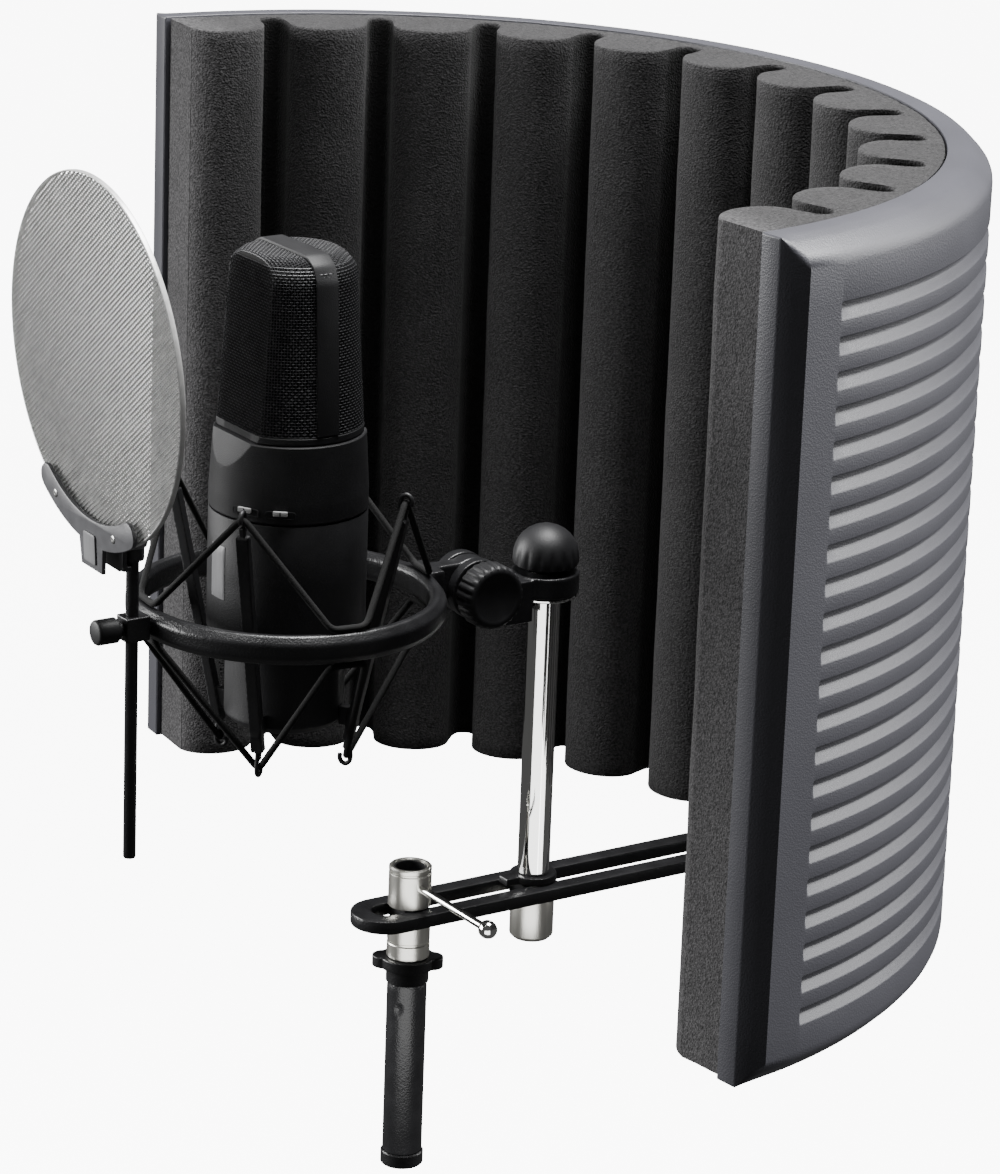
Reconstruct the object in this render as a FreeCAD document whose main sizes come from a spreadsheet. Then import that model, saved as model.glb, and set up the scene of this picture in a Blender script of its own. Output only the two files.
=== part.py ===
"""Microphone isolation shield: a curved, foam lined shell on a slotted arm, with a shock-mounted
microphone and a pop screen in front of it.

Millimetres. +Z is up and the shield opens towards -Y. The origin is the lower end of the stand
tube, on the tube's axis, where a microphone stand's stud screws in.
"""
import FreeCAD, Part
import math
import os
import Sketcher

Vector = FreeCAD.Vector
doc = FreeCAD.newDocument("isolation_shield")

# ---------------------------------------------------------------- driving dimensions
DIMENSIONS = {
    # shell: a C-shaped moulding, 300 mm high
    "shell_height": 300.0,
    "shell_radius": 215.0,
    "shell_wall": 5.6,
    "shell_half_angle": 84.5,
    "shell_bottom": 111.5,
    "shell_axis_back": 18.5,
    "lip_radius": 198.3,
    "lip_thickness": 3.5,
    "bevel": 7.5,
    "rib_groove_first": 23.4,
    "rib_groove_pitch": 11.94,
    "rib_groove_count": 22,
    "rib_groove_height": 5.0,
    "rib_groove_depth": 2.4,
    "rib_groove_angle": 156.0,
    # foam liner
    "foam_back": 198.0,
    "foam_root": 191.0,
    "foam_tip": 166.8,
    "foam_lobe_width": 34.0,
    "foam_lobe_count": 13,
    "foam_lobe_pitch": 13.17,
    "foam_half_angle": 83.9,
    # slotted arm
    "arm_width": 26.0,
    "arm_thickness": 5.2,
    "arm_top": 106.4,
    "arm_front": 24.0,
    "upright_height": 158.0,
    "slot_width": 11.0,
    "slot_front": 16.0,
    "slot_back": 165.0,
    "boss_width": 38.0,
    "bolt_radius": 3.0,
    "bolt_low": 175.0,
    "bolt_high": 235.0,
    "grip_radius": 11.0,
    # stand coupling
    "coupling_radius": 8.2,
    "tube_radius": 7.65,
    "tube_bore": 6.05,
    "tube_top": 75.5,
    "thread_radius": 4.76,
    "thread_depth": 16.0,
    "stud_radius": 4.0,
    "stud_bore": 4.1,
    "flange_bottom": 81.5,
    "flange_thickness": 4.4,
    "coupling_bottom": 86.0,
    "clamp_nut_top": 122.8,
    "tommy_height": 115.6,
    "tommy_radius": 1.5,
    # post that carries the microphone
    "post_offset": 56.4,
    "post_radius": 6.2,
    "post_top": 232.0,
    "post_shoulder": 109.8,
    "washer_bottom": 222.0,
    "washer_radius": 12.5,
    # suspension and microphone
    "cradle_front": 57.5,
    "ring_radius": 58.5,
    "ring_section": 7.0,
    "ring_bottom": 230.5,
    "ring_height": 11.0,
    "hinge_height": 231.0,
    "hinge_offset": 21.5,
    "strut_turn": 38.0,
    "strut_count": 4,
    "hook_top": 279.0,
    "hook_top_radius": 45.0,
    "hook_bottom": 180.5,
    "hook_bottom_radius": 24.5,
    "cup_bottom": 191.5,
    "cup_radius": 22.0,
    "cord_radius": 1.3,
    "cord_spread": 38.0,
    "mic_bottom": 221.5,
    "mic_seam": 273.7,
    "grille_bottom": 302.6,
    "mic_top": 369.5,
    "mic_radius": 29.0,
    "mic_wall": 2.0,
    "grille_radius": 26.4,
    "grille_top_radius": 23.0,
    "flat_low": 21.9,
    "flat_high": 17.3,
    # pop screen
    "pop_offset": 121.5,
    "rod_radius": 2.35,
    "rod_bottom": 147.9,
    "rod_top": 264.5,
    "rod_clamp_height": 236.0,
    "head_radius": 4.2,
    "screen_radius": 67.0,
    "screen_height": 336.5,
    "screen_offset": 137.0,
    "screen_turn": -2.5,
    "screen_lean": 2.8,
    "clip_first": -125.0,
    "clip_last": -63.0,
}

sheet = doc.addObject("Spreadsheet::Sheet", "dim")
for row, (alias, size) in enumerate(DIMENSIONS.items(), start=1):
    sheet.set(f"A{row}", alias)
    sheet.set(f"B{row}", str(size))
    sheet.setAlias(f"B{row}", alias)
doc.recompute()

D = DIMENSIONS
NODES = []


# ---------------------------------------------------------------- helpers
def node(thing, label):
    """Name a sub-part and put it on the list that is written out."""
    thing.Label = label
    NODES.append(thing)
    return thing


def bind(thing, **sizes):
    """Bind each property to an expression in the sheet's cells."""
    for name, expression in sizes.items():
        thing.setExpression(name, expression)


def at(x=0.0, y=0.0, z=0.0, axis=Vector(0, 0, 1), angle=0.0):
    return FreeCAD.Placement(Vector(x, y, z), FreeCAD.Rotation(axis, angle))


def plane_of(body, role):
    return next(item for item in body.Origin.OriginFeatures if item.Role == role)


def sketch_on(body, name, role):
    sketch = body.newObject("Sketcher::SketchObject", name)
    sketch.AttachmentSupport = (plane_of(body, role), "")
    sketch.MapMode = "FlatFace"
    return sketch


def outline(body, name, role, corners):
    """Closed polygon. Each corner is a pair: a number, or an expression in the sheet's cells."""
    sketch = sketch_on(body, name, role)
    count = len(corners)
    spread = [Vector(100 + 50 * math.cos(2 * math.pi * k / count),
                     100 + 50 * math.sin(2 * math.pi * k / count), 0) for k in range(count)]
    for k in range(count):
        sketch.addGeometry(Part.LineSegment(spread[k], spread[(k + 1) % count]), False)
    for k in range(count):
        sketch.addConstraint(Sketcher.Constraint("Coincident", k, 2, (k + 1) % count, 1))
    for k, corner in enumerate(corners):
        for direction, value in zip(("DistanceX", "DistanceY"), corner):
            if isinstance(value, str):
                start = getattr(spread[k], "x" if direction == "DistanceX" else "y")
                index = sketch.addConstraint(Sketcher.Constraint(direction, -1, 1, k, 1, start))
                sketch.setExpression(f"Constraints[{index}]", value)
            else:
                sketch.addConstraint(Sketcher.Constraint(direction, -1, 1, k, 1, value))
    return sketch


def revolve(body, sketch, angle="360", cut=False):
    kind = "PartDesign::Groove" if cut else "PartDesign::Revolution"
    feature = body.newObject(kind, sketch.Name + ("_groove" if cut else "_turned"))
    feature.Profile = sketch
    feature.ReferenceAxis = (sketch, ["V_Axis"])
    feature.Midplane = True
    feature.setExpression("Angle", angle)
    return feature


def turned(label, corners, placement=None):
    """A sub-part turned about its own Z axis. Corners are (radius, height)."""
    body = doc.addObject("PartDesign::Body", label)
    revolve(body, outline(body, label + "_profile", "YZ_Plane", corners))
    body.Placement = placement or at()
    return node(body, label)


def sleeve(label, outer, inner, bottom, top, placement=None):
    """A plain turned ring or tube between two heights."""
    return turned(label, [(inner, bottom), (outer, bottom), (outer, top), (inner, top)], placement)


def pad(body, sketch, length, symmetric=True, cut=False, through=False):
    kind = "PartDesign::Pocket" if cut else "PartDesign::Pad"
    feature = body.newObject(kind, sketch.Name + ("_pocket" if cut else "_pad"))
    feature.Profile = sketch
    if through:
        feature.Type = "ThroughAll"
    feature.SideType = "Symmetric" if symmetric else "One side"
    if not through:
        feature.setExpression("Length", length)
    return feature


def cylinder(radius, height, placement, name="rod"):
    """Part cylinder; radius and height are expressions."""
    thing = doc.addObject("Part::Cylinder", name)
    bind(thing, Radius=radius, Height=height)
    thing.Placement = placement
    return thing


def box(length, width, height, placement, name="block"):
    """Part box centred on X and Y over its placement."""
    thing = doc.addObject("Part::Box", name)
    bind(thing, Length=length, Width=width, Height=height)
    doc.recompute()
    offset = Vector(-thing.Length.Value / 2, -thing.Width.Value / 2, 0)
    thing.Placement = placement.multiply(FreeCAD.Placement(offset, FreeCAD.Rotation()))
    return thing


def fuse(shapes, name="joined"):
    thing = doc.addObject("Part::MultiFuse", name)
    thing.Shapes = shapes
    return thing


def cut(base, tool, name="cut"):
    thing = doc.addObject("Part::Cut", name)
    thing.Base = base
    thing.Tool = tool
    return thing


def free_shape(label, shape, placement=None):
    """A sub-part whose shape is worked out here from the dimensions."""
    thing = doc.addObject("Part::Feature", label)
    thing.Shape = shape
    thing.Placement = placement or at()
    return node(thing, label)


def polar(radius, degrees, height=0.0):
    return Vector(radius * math.cos(math.radians(degrees)), radius * math.sin(math.radians(degrees)), height)


X_UP = FreeCAD.Rotation(Vector(0, 1, 0), 90)
Y_UP = FreeCAD.Rotation(Vector(1, 0, 0), -90)
SHELL = at(0, -D["shell_axis_back"], D["shell_bottom"])
CRADLE = at(0, -D["cradle_front"], 0)
POST = at(0, D["post_offset"], 0)
HINGE = FreeCAD.Placement(Vector(0, D["hinge_offset"], D["hinge_height"]), X_UP)
BOLT_HEIGHTS = (D["bolt_low"], D["bolt_high"])


# ---------------------------------------------------------------- shell
def outer_shell():
    """C-section moulding: a ribbed outer wall, lips that turn in at every edge, closed ends."""
    body = doc.addObject("PartDesign::Body", "outer_shell")
    inner, near, outer = "dim.lip_radius", "dim.shell_radius - dim.bevel", "dim.shell_radius"
    lower = [(inner, 0.0), (near, 0.0), (outer, "dim.bevel")]
    upper = [(outer, "dim.shell_height - dim.bevel"), (near, "dim.shell_height"),
             (inner, "dim.shell_height")]
    half, deep = "dim.rib_groove_height / 2", "dim.shell_radius - dim.rib_groove_depth"
    notches = []
    for number in range(int(D["rib_groove_count"])):
        middle = f"dim.rib_groove_first + {number} * dim.rib_groove_pitch"
        notches += [(outer, f"{middle} - {half} - 1"), (deep, f"{middle} - {half} + 1.6"),
                    (deep, f"{middle} + {half} - 0.4"), (outer, f"{middle} + {half}")]
    ribbed = outline(body, "ribbed_section", "YZ_Plane", lower + notches + upper)
    revolve(body, ribbed, "dim.rib_groove_angle")
    for side in (-1, 1):
        end = outline(body, f"plain_section_{side + 2}", "YZ_Plane", lower + upper)
        middle = side * (D["shell_half_angle"] + D["rib_groove_angle"] / 2) / 2
        end.AttachmentOffset = FreeCAD.Placement(Vector(), FreeCAD.Rotation(Vector(0, 1, 0), middle))
        revolve(body, end, "dim.shell_half_angle - dim.rib_groove_angle / 2")
    wall = "dim.shell_radius - dim.shell_wall"
    behind_bevel = "dim.shell_radius - dim.bevel - dim.lip_thickness / 2"
    channel = outline(body, "channel", "YZ_Plane", [
        ("dim.lip_radius - 5", "dim.lip_thickness"), (behind_bevel, "dim.lip_thickness"),
        (wall, "dim.bevel + dim.lip_thickness / 2"),
        (wall, "dim.shell_height - dim.bevel - dim.lip_thickness / 2"),
        (behind_bevel, "dim.shell_height - dim.lip_thickness"),
        ("dim.lip_radius - 5", "dim.shell_height - dim.lip_thickness")])
    revolve(body, channel, "2 * (dim.shell_half_angle - 1)", cut=True)

    # The two upright outer corners are bevelled like the long edges, and two bolt holes go through.
    for side in (-1, 1):
        corners = []
        for radius, degrees in ((D["shell_radius"] - D["bevel"], D["shell_half_angle"] + 0.02),
                                (D["shell_radius"] + 0.2, D["shell_half_angle"] - 2.0),
                                (D["shell_radius"] + 6, D["shell_half_angle"] + 1.5)):
            spot = polar(radius, 90 - side * degrees)
            corners.append((spot.x, spot.y))
        corner = outline(body, f"corner_{side + 2}", "XY_Plane", corners)
        body.Tip = pad(body, corner, "0", cut=True, through=True)
    low, high = "dim.bolt_low - dim.shell_bottom - 28", "dim.bolt_high - dim.shell_bottom + 28"
    boss = outline(body, "bracket_boss", "XZ_Plane", [
        ("-dim.boss_width / 2", low), ("dim.boss_width / 2", low), ("dim.boss_width / 2", high),
        ("-dim.boss_width / 2", high)])
    boss.AttachmentOffset = FreeCAD.Placement(Vector(0, 0, -D["shell_radius"] + 6), FreeCAD.Rotation())
    raised = pad(body, boss, "6.2", symmetric=False)
    raised.Reversed = True
    body.Tip = raised
    holes = sketch_on(body, "bolt_holes", "XZ_Plane")
    for height in BOLT_HEIGHTS:
        centre = Vector(0, height - D["shell_bottom"], 0)
        holes.addGeometry(Part.Circle(centre, Vector(0, 0, 1), D["bolt_radius"] + 0.2), False)
    body.Tip = pad(body, holes, "0", cut=True, through=True)
    for item in body.Group:
        if hasattr(item, "Refine"):
            item.Refine = False
    body.Placement = SHELL
    return node(body, "outer_shell")


def layer(label, outer, inner, edge):
    """One curved absorber sheet inside the shell's channel."""
    body = doc.addObject("PartDesign::Body", label)
    profile = outline(body, label + "_profile", "YZ_Plane", [
        (inner, f"{edge}"), (outer, f"{edge}"),
        (outer, f"dim.shell_height - {edge}"), (inner, f"dim.shell_height - {edge}")])
    revolve(body, profile, "2 * (dim.shell_half_angle - 1.4)")
    body.Placement = SHELL
    return body


def absorber_layers():
    """Felt, perforated metal and felt, stacked between the shell wall and the foam."""
    felt = layer("felt_blank", "dim.shell_radius - dim.shell_wall - 0.2", "204.9", "12")
    recess = box("46", "20", "126", at(0, D["shell_radius"] - D["shell_axis_back"] - 6,
                                      BOLT_HEIGHTS[0] - 38), "backing_recess")
    node(cut(felt, recess, "outer_felt"), "outer_felt")
    node(layer("perforated_sheet", "204.7", "203.5", "5"), "perforated_sheet")
    node(layer("inner_felt", "203.3", "198.8", "5"), "inner_felt")


def foam_liner():
    """Thirteen rounded vertical lobes on a thin curved back, cut square at the wing ends."""
    body = doc.addObject("PartDesign::Body", "foam_liner")
    back = outline(body, "foam_back", "YZ_Plane", [
        ("dim.foam_root", 0.4), ("dim.foam_back", 0.4), ("dim.foam_back", "dim.shell_height - 0.4"),
        ("dim.foam_root", "dim.shell_height - 0.4")])
    revolve(body, back, "2 * dim.foam_half_angle")
    lobe = sketch_on(body, "foam_lobe", "XY_Plane")
    half = D["foam_lobe_width"] / 2
    root, tip = D["foam_root"], D["foam_tip"]
    foot = root * math.sin(math.radians(D["foam_lobe_pitch"] / 2)) - 0.4
    shoulder = Vector(half, tip + 9, 0)
    crown = Vector(half - 6, tip + 1, 0)
    mirrored = [Vector(-spot.x, spot.y, 0) for spot in (shoulder, crown)]
    middle = Vector(half - 1.4, tip + 4.2, 0)
    lines = [
        Part.LineSegment(Vector(-foot, root + 1, 0), mirrored[0]),
        Part.Arc(mirrored[0], Vector(-middle.x, middle.y, 0), mirrored[1]),
        Part.Arc(mirrored[1], Vector(0, tip, 0), crown),
        Part.Arc(crown, middle, shoulder),
        Part.LineSegment(shoulder, Vector(foot, root + 1, 0)),
        Part.LineSegment(Vector(foot, root + 1, 0), Vector(-foot, root + 1, 0)),
    ]
    lobe.addGeometry(lines, False)
    lobe_pad = pad(body, lobe, "dim.shell_height - 0.4", symmetric=False)
    for name, sign in (("lobes_left", False), ("lobes_right", True)):
        pattern = body.newObject("PartDesign::PolarPattern", name)
        pattern.Originals = [lobe_pad]
        pattern.Axis = (lobe, ["N_Axis"])
        pattern.Reversed = sign
        pattern.Mode = "Spacing"
        pattern.setExpression("Offset", "dim.foam_lobe_pitch")
        pattern.setExpression("Occurrences", "(dim.foam_lobe_count + 1) / 2")
        body.Tip = pattern
    for side in (-1, 1):
        corners = []
        for radius, degrees in ((140, D["foam_half_angle"]), (230, D["foam_half_angle"]),
                                (230, D["foam_half_angle"] + 9), (140, D["foam_half_angle"] + 9)):
            spot = polar(radius, 90 - side * degrees)
            corners.append((spot.x, spot.y))
        end = outline(body, f"foam_end_{side + 2}", "XY_Plane", corners)
        body.Tip = pad(body, end, "0", cut=True, through=True)
    body.Placement = SHELL
    return node(body, "foam_liner")


# ---------------------------------------------------------------- arm and its fixings
def edges_where(shape, test):
    """Names of the edges whose bounding box passes the test."""
    return [f"Edge{k}" for k, edge in enumerate(shape.Edges, start=1) if test(edge.BoundBox)]


def rounded(body, name, radius, test):
    doc.recompute()
    base = body.Tip
    fillet = body.newObject("PartDesign::Fillet", name)
    fillet.Base = (base, edges_where(base.Shape, test))
    fillet.setExpression("Radius", radius)
    body.Tip = fillet
    return fillet


def slotted_arm():
    """One bent steel strip: a slotted bar under the shell and an upright behind it."""
    body = doc.addObject("PartDesign::Body", "slotted_arm")
    back = "dim.shell_radius - dim.shell_axis_back + 0.4"
    strip = outline(body, "strip", "YZ_Plane", [
        ("-dim.arm_front", "dim.arm_top - dim.arm_thickness"),
        (f"{back} + dim.arm_thickness", "dim.arm_top - dim.arm_thickness"),
        (f"{back} + dim.arm_thickness", "dim.arm_top + dim.upright_height"),
        (back, "dim.arm_top + dim.upright_height"),
        (back, "dim.arm_top"), ("-dim.arm_front", "dim.arm_top")])
    body.Tip = pad(body, strip, "dim.arm_width")
    inner = D["shell_radius"] - D["shell_axis_back"] + 0.4
    under = D["arm_top"] - D["arm_thickness"]
    highest = D["arm_top"] + D["upright_height"]

    def bend_edge(y, z):
        """Test for the long edge across the arm at one place along it."""
        return lambda b: (b.XLength > 20 and b.ZLength < 0.01
                          and abs(b.YMin - y) < 0.01 and abs(b.ZMin - z) < 0.01)

    rounded(body, "inner_bend", "2", bend_edge(inner, D["arm_top"]))
    rounded(body, "outer_bend", "5.5", bend_edge(inner + D["arm_thickness"], under))
    rounded(body, "front_tip", "dim.arm_width / 2 - 0.2",
            lambda b: b.ZLength > 3 and b.XLength < 0.01 and abs(b.YMax + D["arm_front"]) < 0.01)
    rounded(body, "upper_tip", "dim.arm_width / 2 - 0.2",
            lambda b: b.YLength > 3 and b.XLength < 0.01 and abs(b.ZMin - highest) < 0.01)
    slot = sketch_on(body, "slot", "XY_Plane")
    radius = D["slot_width"] / 2
    front, rear = -D["slot_front"] + radius, D["slot_back"] - radius
    slot.addGeometry([
        Part.LineSegment(Vector(radius, front, 0), Vector(radius, rear, 0)),
        Part.Arc(Vector(radius, rear, 0), Vector(0, rear + radius, 0), Vector(-radius, rear, 0)),
        Part.LineSegment(Vector(-radius, rear, 0), Vector(-radius, front, 0)),
        Part.Arc(Vector(-radius, front, 0), Vector(0, front - radius, 0), Vector(radius, front, 0))], False)
    body.Tip = pad(body, slot, "0", cut=True, through=True)
    bores = sketch_on(body, "upright_bores", "XZ_Plane")
    for height in BOLT_HEIGHTS:
        bores.addGeometry(Part.Circle(Vector(0, height, 0), Vector(0, 0, 1), D["bolt_radius"] + 0.3), False)
    body.Tip = pad(body, bores, "0", cut=True, through=True)
    return node(body, "slotted_arm")


def arm_fixings():
    """Two knobs clamp the upright to the shell, against a backing plate inside it."""
    face = D["shell_radius"] - D["shell_axis_back"] + 0.4 + D["arm_thickness"]
    for number, height in enumerate(BOLT_HEIGHTS, start=1):
        placement = FreeCAD.Placement(Vector(0, face, height), Y_UP)
        turned(f"arm_knob_{number}", [
            (0.0, "-11.6"), ("dim.bolt_radius", "-11.6"), ("dim.bolt_radius", "0.3"), ("8.5", "0.3"),
            ("8.5", "1.8"), ("7", "2"), ("7", "4.5"), ("dim.grip_radius", "5.5"), ("dim.grip_radius", "12.5"),
            ("dim.grip_radius - 1.5", "14"), (0.0, "14")], placement)
    plate = box("40", "2.4", "104", at(0, D["shell_radius"] - D["shell_axis_back"] - D["shell_wall"] - 2.7,
                                       BOLT_HEIGHTS[0] - 22), "backing_blank")
    holes = [cylinder("dim.bolt_radius + 0.2", "20", FreeCAD.Placement(Vector(0, 180, height), Y_UP))
             for height in BOLT_HEIGHTS]
    node(cut(plate, fuse(holes), "backing_plate"), "backing_plate")


# ---------------------------------------------------------------- stand coupling
def stand_coupling():
    """The stack on the stand's axis, from the thread insert up to the nut with its tommy bar."""
    turned("thread_insert", [
        ("dim.thread_radius", 0.0), ("8.25", 0.0), ("8.25", "5.5"), ("dim.tube_bore - 0.1", "5.5"),
        ("dim.tube_bore - 0.1", "dim.thread_depth + 4"), (0.0, "dim.thread_depth + 4"),
        (0.0, "dim.thread_depth"), ("dim.thread_radius", "dim.thread_depth")])
    sleeve("stand_tube", "dim.tube_radius", "dim.tube_bore", "5.6", "dim.tube_top")
    sleeve("tube_collar", "dim.coupling_radius", "dim.stud_bore", "dim.tube_top + 0.1",
           "dim.flange_bottom - 0.1")
    ears = [cylinder("4.6", "dim.flange_thickness",
                     FreeCAD.Placement(polar(9.0, 56 + turn, D["flange_bottom"]), FreeCAD.Rotation()))
            for turn in (0, 180)]
    ring = cylinder("10.4", "dim.flange_thickness", at(0, 0, D["flange_bottom"]), "flange_disc")
    bore = cylinder("dim.stud_bore", "10", at(0, 0, D["flange_bottom"] - 3.5), "flange_bore")
    node(cut(fuse([ring] + ears), bore, "flange_ring"), "flange_ring")
    sleeve("coupling_lower", "dim.coupling_radius", "dim.stud_bore", "dim.coupling_bottom",
           "dim.arm_top - dim.arm_thickness - 0.2")
    turned("coupling_stud", [
        (0.0, "60"), ("dim.stud_radius", "60"), ("dim.stud_radius", "113.4"), (0.0, "113.4")])
    bush = box("dim.slot_width - 0.3", "dim.slot_width - 0.3", "dim.arm_thickness - 0.1",
               at(0, 0, D["arm_top"] - D["arm_thickness"] + 0.05))
    hole = cylinder("dim.stud_radius + 0.06", "10", at(0, 0, 100))
    node(cut(bush, hole, "slot_bush"), "slot_bush")
    nut = turned("clamp_nut", [
        ("dim.stud_radius + 0.06", "dim.arm_top + 0.2"), ("dim.coupling_radius", "dim.arm_top + 0.2"),
        ("dim.coupling_radius", "dim.clamp_nut_top"), ("6.3", "dim.clamp_nut_top"), ("6.3", "117.4"),
        ("dim.stud_radius + 0.06", "117.4")])
    seat = sketch_on(nut, "tommy_seat", "YZ_Plane")
    seat.addGeometry(Part.Circle(Vector(0, D["tommy_height"], 0), Vector(0, 0, 1), D["tommy_radius"]), False)
    drilled = nut.newObject("PartDesign::Pocket", "tommy_hole")
    drilled.Profile = seat
    drilled.Type = "ThroughAll"
    drilled.Reversed = True
    nut.Tip = drilled
    turned("tommy_bar", [
        (0.0, "7.6"), ("dim.tommy_radius", "7.6"), ("dim.tommy_radius", "50.6"), ("2.8", "51.6"),
        ("3.5", "53.4"), ("3.3", "55.2"), ("2", "57"), (0.0, "57.3")],
        FreeCAD.Placement(Vector(0, 0, D["tommy_height"]), X_UP))


# ---------------------------------------------------------------- post and swivel
def mic_post():
    turned("mic_post", [
        (0.0, "85"), ("dim.stud_radius", "85"), ("dim.stud_radius", "dim.post_shoulder"),
        ("dim.post_radius", "dim.post_shoulder"), ("dim.post_radius", "dim.post_top"),
        ("dim.stud_radius", "dim.post_top"), ("dim.stud_radius", "dim.post_top + 12"),
        (0.0, "dim.post_top + 12")], POST)
    disc = cylinder("9", "3", at(0, D["post_offset"], D["arm_top"] + 0.2), "slider_disc")
    lug = box("6", "7", "3", at(0, D["post_offset"] - 10.5, D["arm_top"] + 0.2), "slider_lug")
    hole = cylinder("dim.stud_bore", "20", at(0, D["post_offset"], 100), "slider_bore")
    node(cut(fuse([disc, lug]), hole, "post_slider"), "post_slider")
    bush = box("dim.slot_width - 0.3", "dim.slot_width + 4", "dim.arm_thickness - 0.1",
               at(0, D["post_offset"], D["arm_top"] - D["arm_thickness"] + 0.05))
    bore = cylinder("dim.stud_bore", "20", at(0, D["post_offset"], 95), "bush_bore")
    node(cut(bush, bore, "post_bush"), "post_bush")
    turned("post_nut", [
        ("dim.stud_bore", "83"), ("7.5", "83"), ("8.5", "84"), ("8.5", "100"), ("7.8", "101"),
        ("dim.stud_bore", "101")], POST)
    sleeve("post_washer", "dim.washer_radius", "dim.post_radius + 0.05", "dim.washer_bottom",
           "dim.washer_bottom + 1.3", POST)
    base, inside = "dim.post_top + 0.4", "dim.stud_radius + 0.06"
    turned("dome_knob", [
        (inside, base), ("7", base), ("7", "234"), ("12", "234.6"), ("12.6", "237"), ("11.8", "241.5"),
        ("9.4", "245.6"), ("5.6", "248.6"), (0.0, "249.8"), (0.0, "dim.post_top + 14"),
        (inside, "dim.post_top + 14")], POST)


def swivel():
    """Clamp ring round the post, a block and a forked end that carries the tilt hinge."""
    post, hinge = D["post_offset"], D["hinge_offset"]
    ring = cylinder("13", "8.3", at(0, post, 223.5), "swivel_ring")
    block = box("16", "20", "16.2", at(0, post - 18, 214.8), "swivel_block")
    cheek = cylinder("11.6", "16", FreeCAD.Placement(Vector(-8, hinge, D["hinge_height"]), X_UP),
                     "fork_cheeks")
    bore = cylinder("dim.post_radius + 0.05", "30", at(0, post, 210), "swivel_bore")
    gap = box("7", "26", "40", at(0, hinge, 210), "fork_gap")
    relief = cylinder("dim.washer_radius + 0.5", "14.5", at(0, post, D["washer_bottom"] - 13),
                      "washer_relief")
    pin = cylinder("2.55", "40", FreeCAD.Placement(Vector(-20, hinge, D["hinge_height"]), X_UP), "hinge_bore")
    node(cut(fuse([ring, block, cheek]), fuse([bore, gap, pin, relief]), "swivel_block"), "swivel_body")
    turned("hinge_bolt", [(0.0, "-13.8"), ("2.5", "-13.8"), ("2.5", "17"), (0.0, "17")], HINGE)
    turned("lock_knob", [
        ("2.56", "8.4"), ("6", "8.4"), ("6", "10"), ("12.4", "10.8"), ("12.4", "18.6"), ("11", "20.2"),
        (0.0, "20.2"), (0.0, "17.3"), ("2.56", "17.3")], HINGE)
    hexagon = doc.addObject("Part::Prism", "hinge_nut_blank")
    hexagon.Polygon = 6
    bind(hexagon, Circumradius="4.9", Height="3.6")
    hexagon.Placement = FreeCAD.Placement(Vector(-12.0, hinge, D["hinge_height"]), X_UP)
    thread = cylinder("2.5", "10", FreeCAD.Placement(Vector(-15, hinge, D["hinge_height"]), X_UP))
    node(cut(hexagon, thread, "hinge_nut"), "hinge_nut")


def suspension_ring():
    """Rounded hoop with a flat tongue at the back for the tilt hinge."""
    body = doc.addObject("PartDesign::Body", "hoop")
    low, high = "dim.ring_bottom", "dim.ring_bottom + dim.ring_height"
    inner, outer = "dim.ring_radius - dim.ring_section", "dim.ring_radius"
    section = outline(body, "hoop_section", "YZ_Plane", [
        (f"{inner} + 2.4", low), (f"{outer} - 2.4", low), (outer, f"{low} + 3"), (outer, f"{high} - 3"),
        (f"{outer} - 2.4", high), (f"{inner} + 2.4", high), (inner, f"{high} - 3"), (inner, f"{low} + 3")])
    revolve(body, section)
    body.Placement = CRADLE
    hinge, height = D["hinge_offset"], D["hinge_height"]
    hoop_back = D["ring_radius"] - D["cradle_front"]
    eye = cylinder("11.2", "6.6", FreeCAD.Placement(Vector(-3.3, hinge, height), X_UP), "tongue_eye")
    tongue = box("6.6", "22", "13", at(0, hinge - 11, height - 3), "tongue")
    root = box("16", "8", "9.6", at(0, hoop_back + 1, D["ring_bottom"] + 0.7), "tongue_root")
    bolt = cylinder("2.56", "20", FreeCAD.Placement(Vector(-10, hinge, height), X_UP), "tongue_bore")
    inside = cylinder("dim.ring_radius - dim.ring_section + 0.6", "40", at(0, -D["cradle_front"], 215),
                      "hoop_bore")
    solid = fuse([body, eye, tongue, root])
    node(cut(solid, fuse([bolt, inside]), "suspension_ring"), "suspension_ring")


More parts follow.
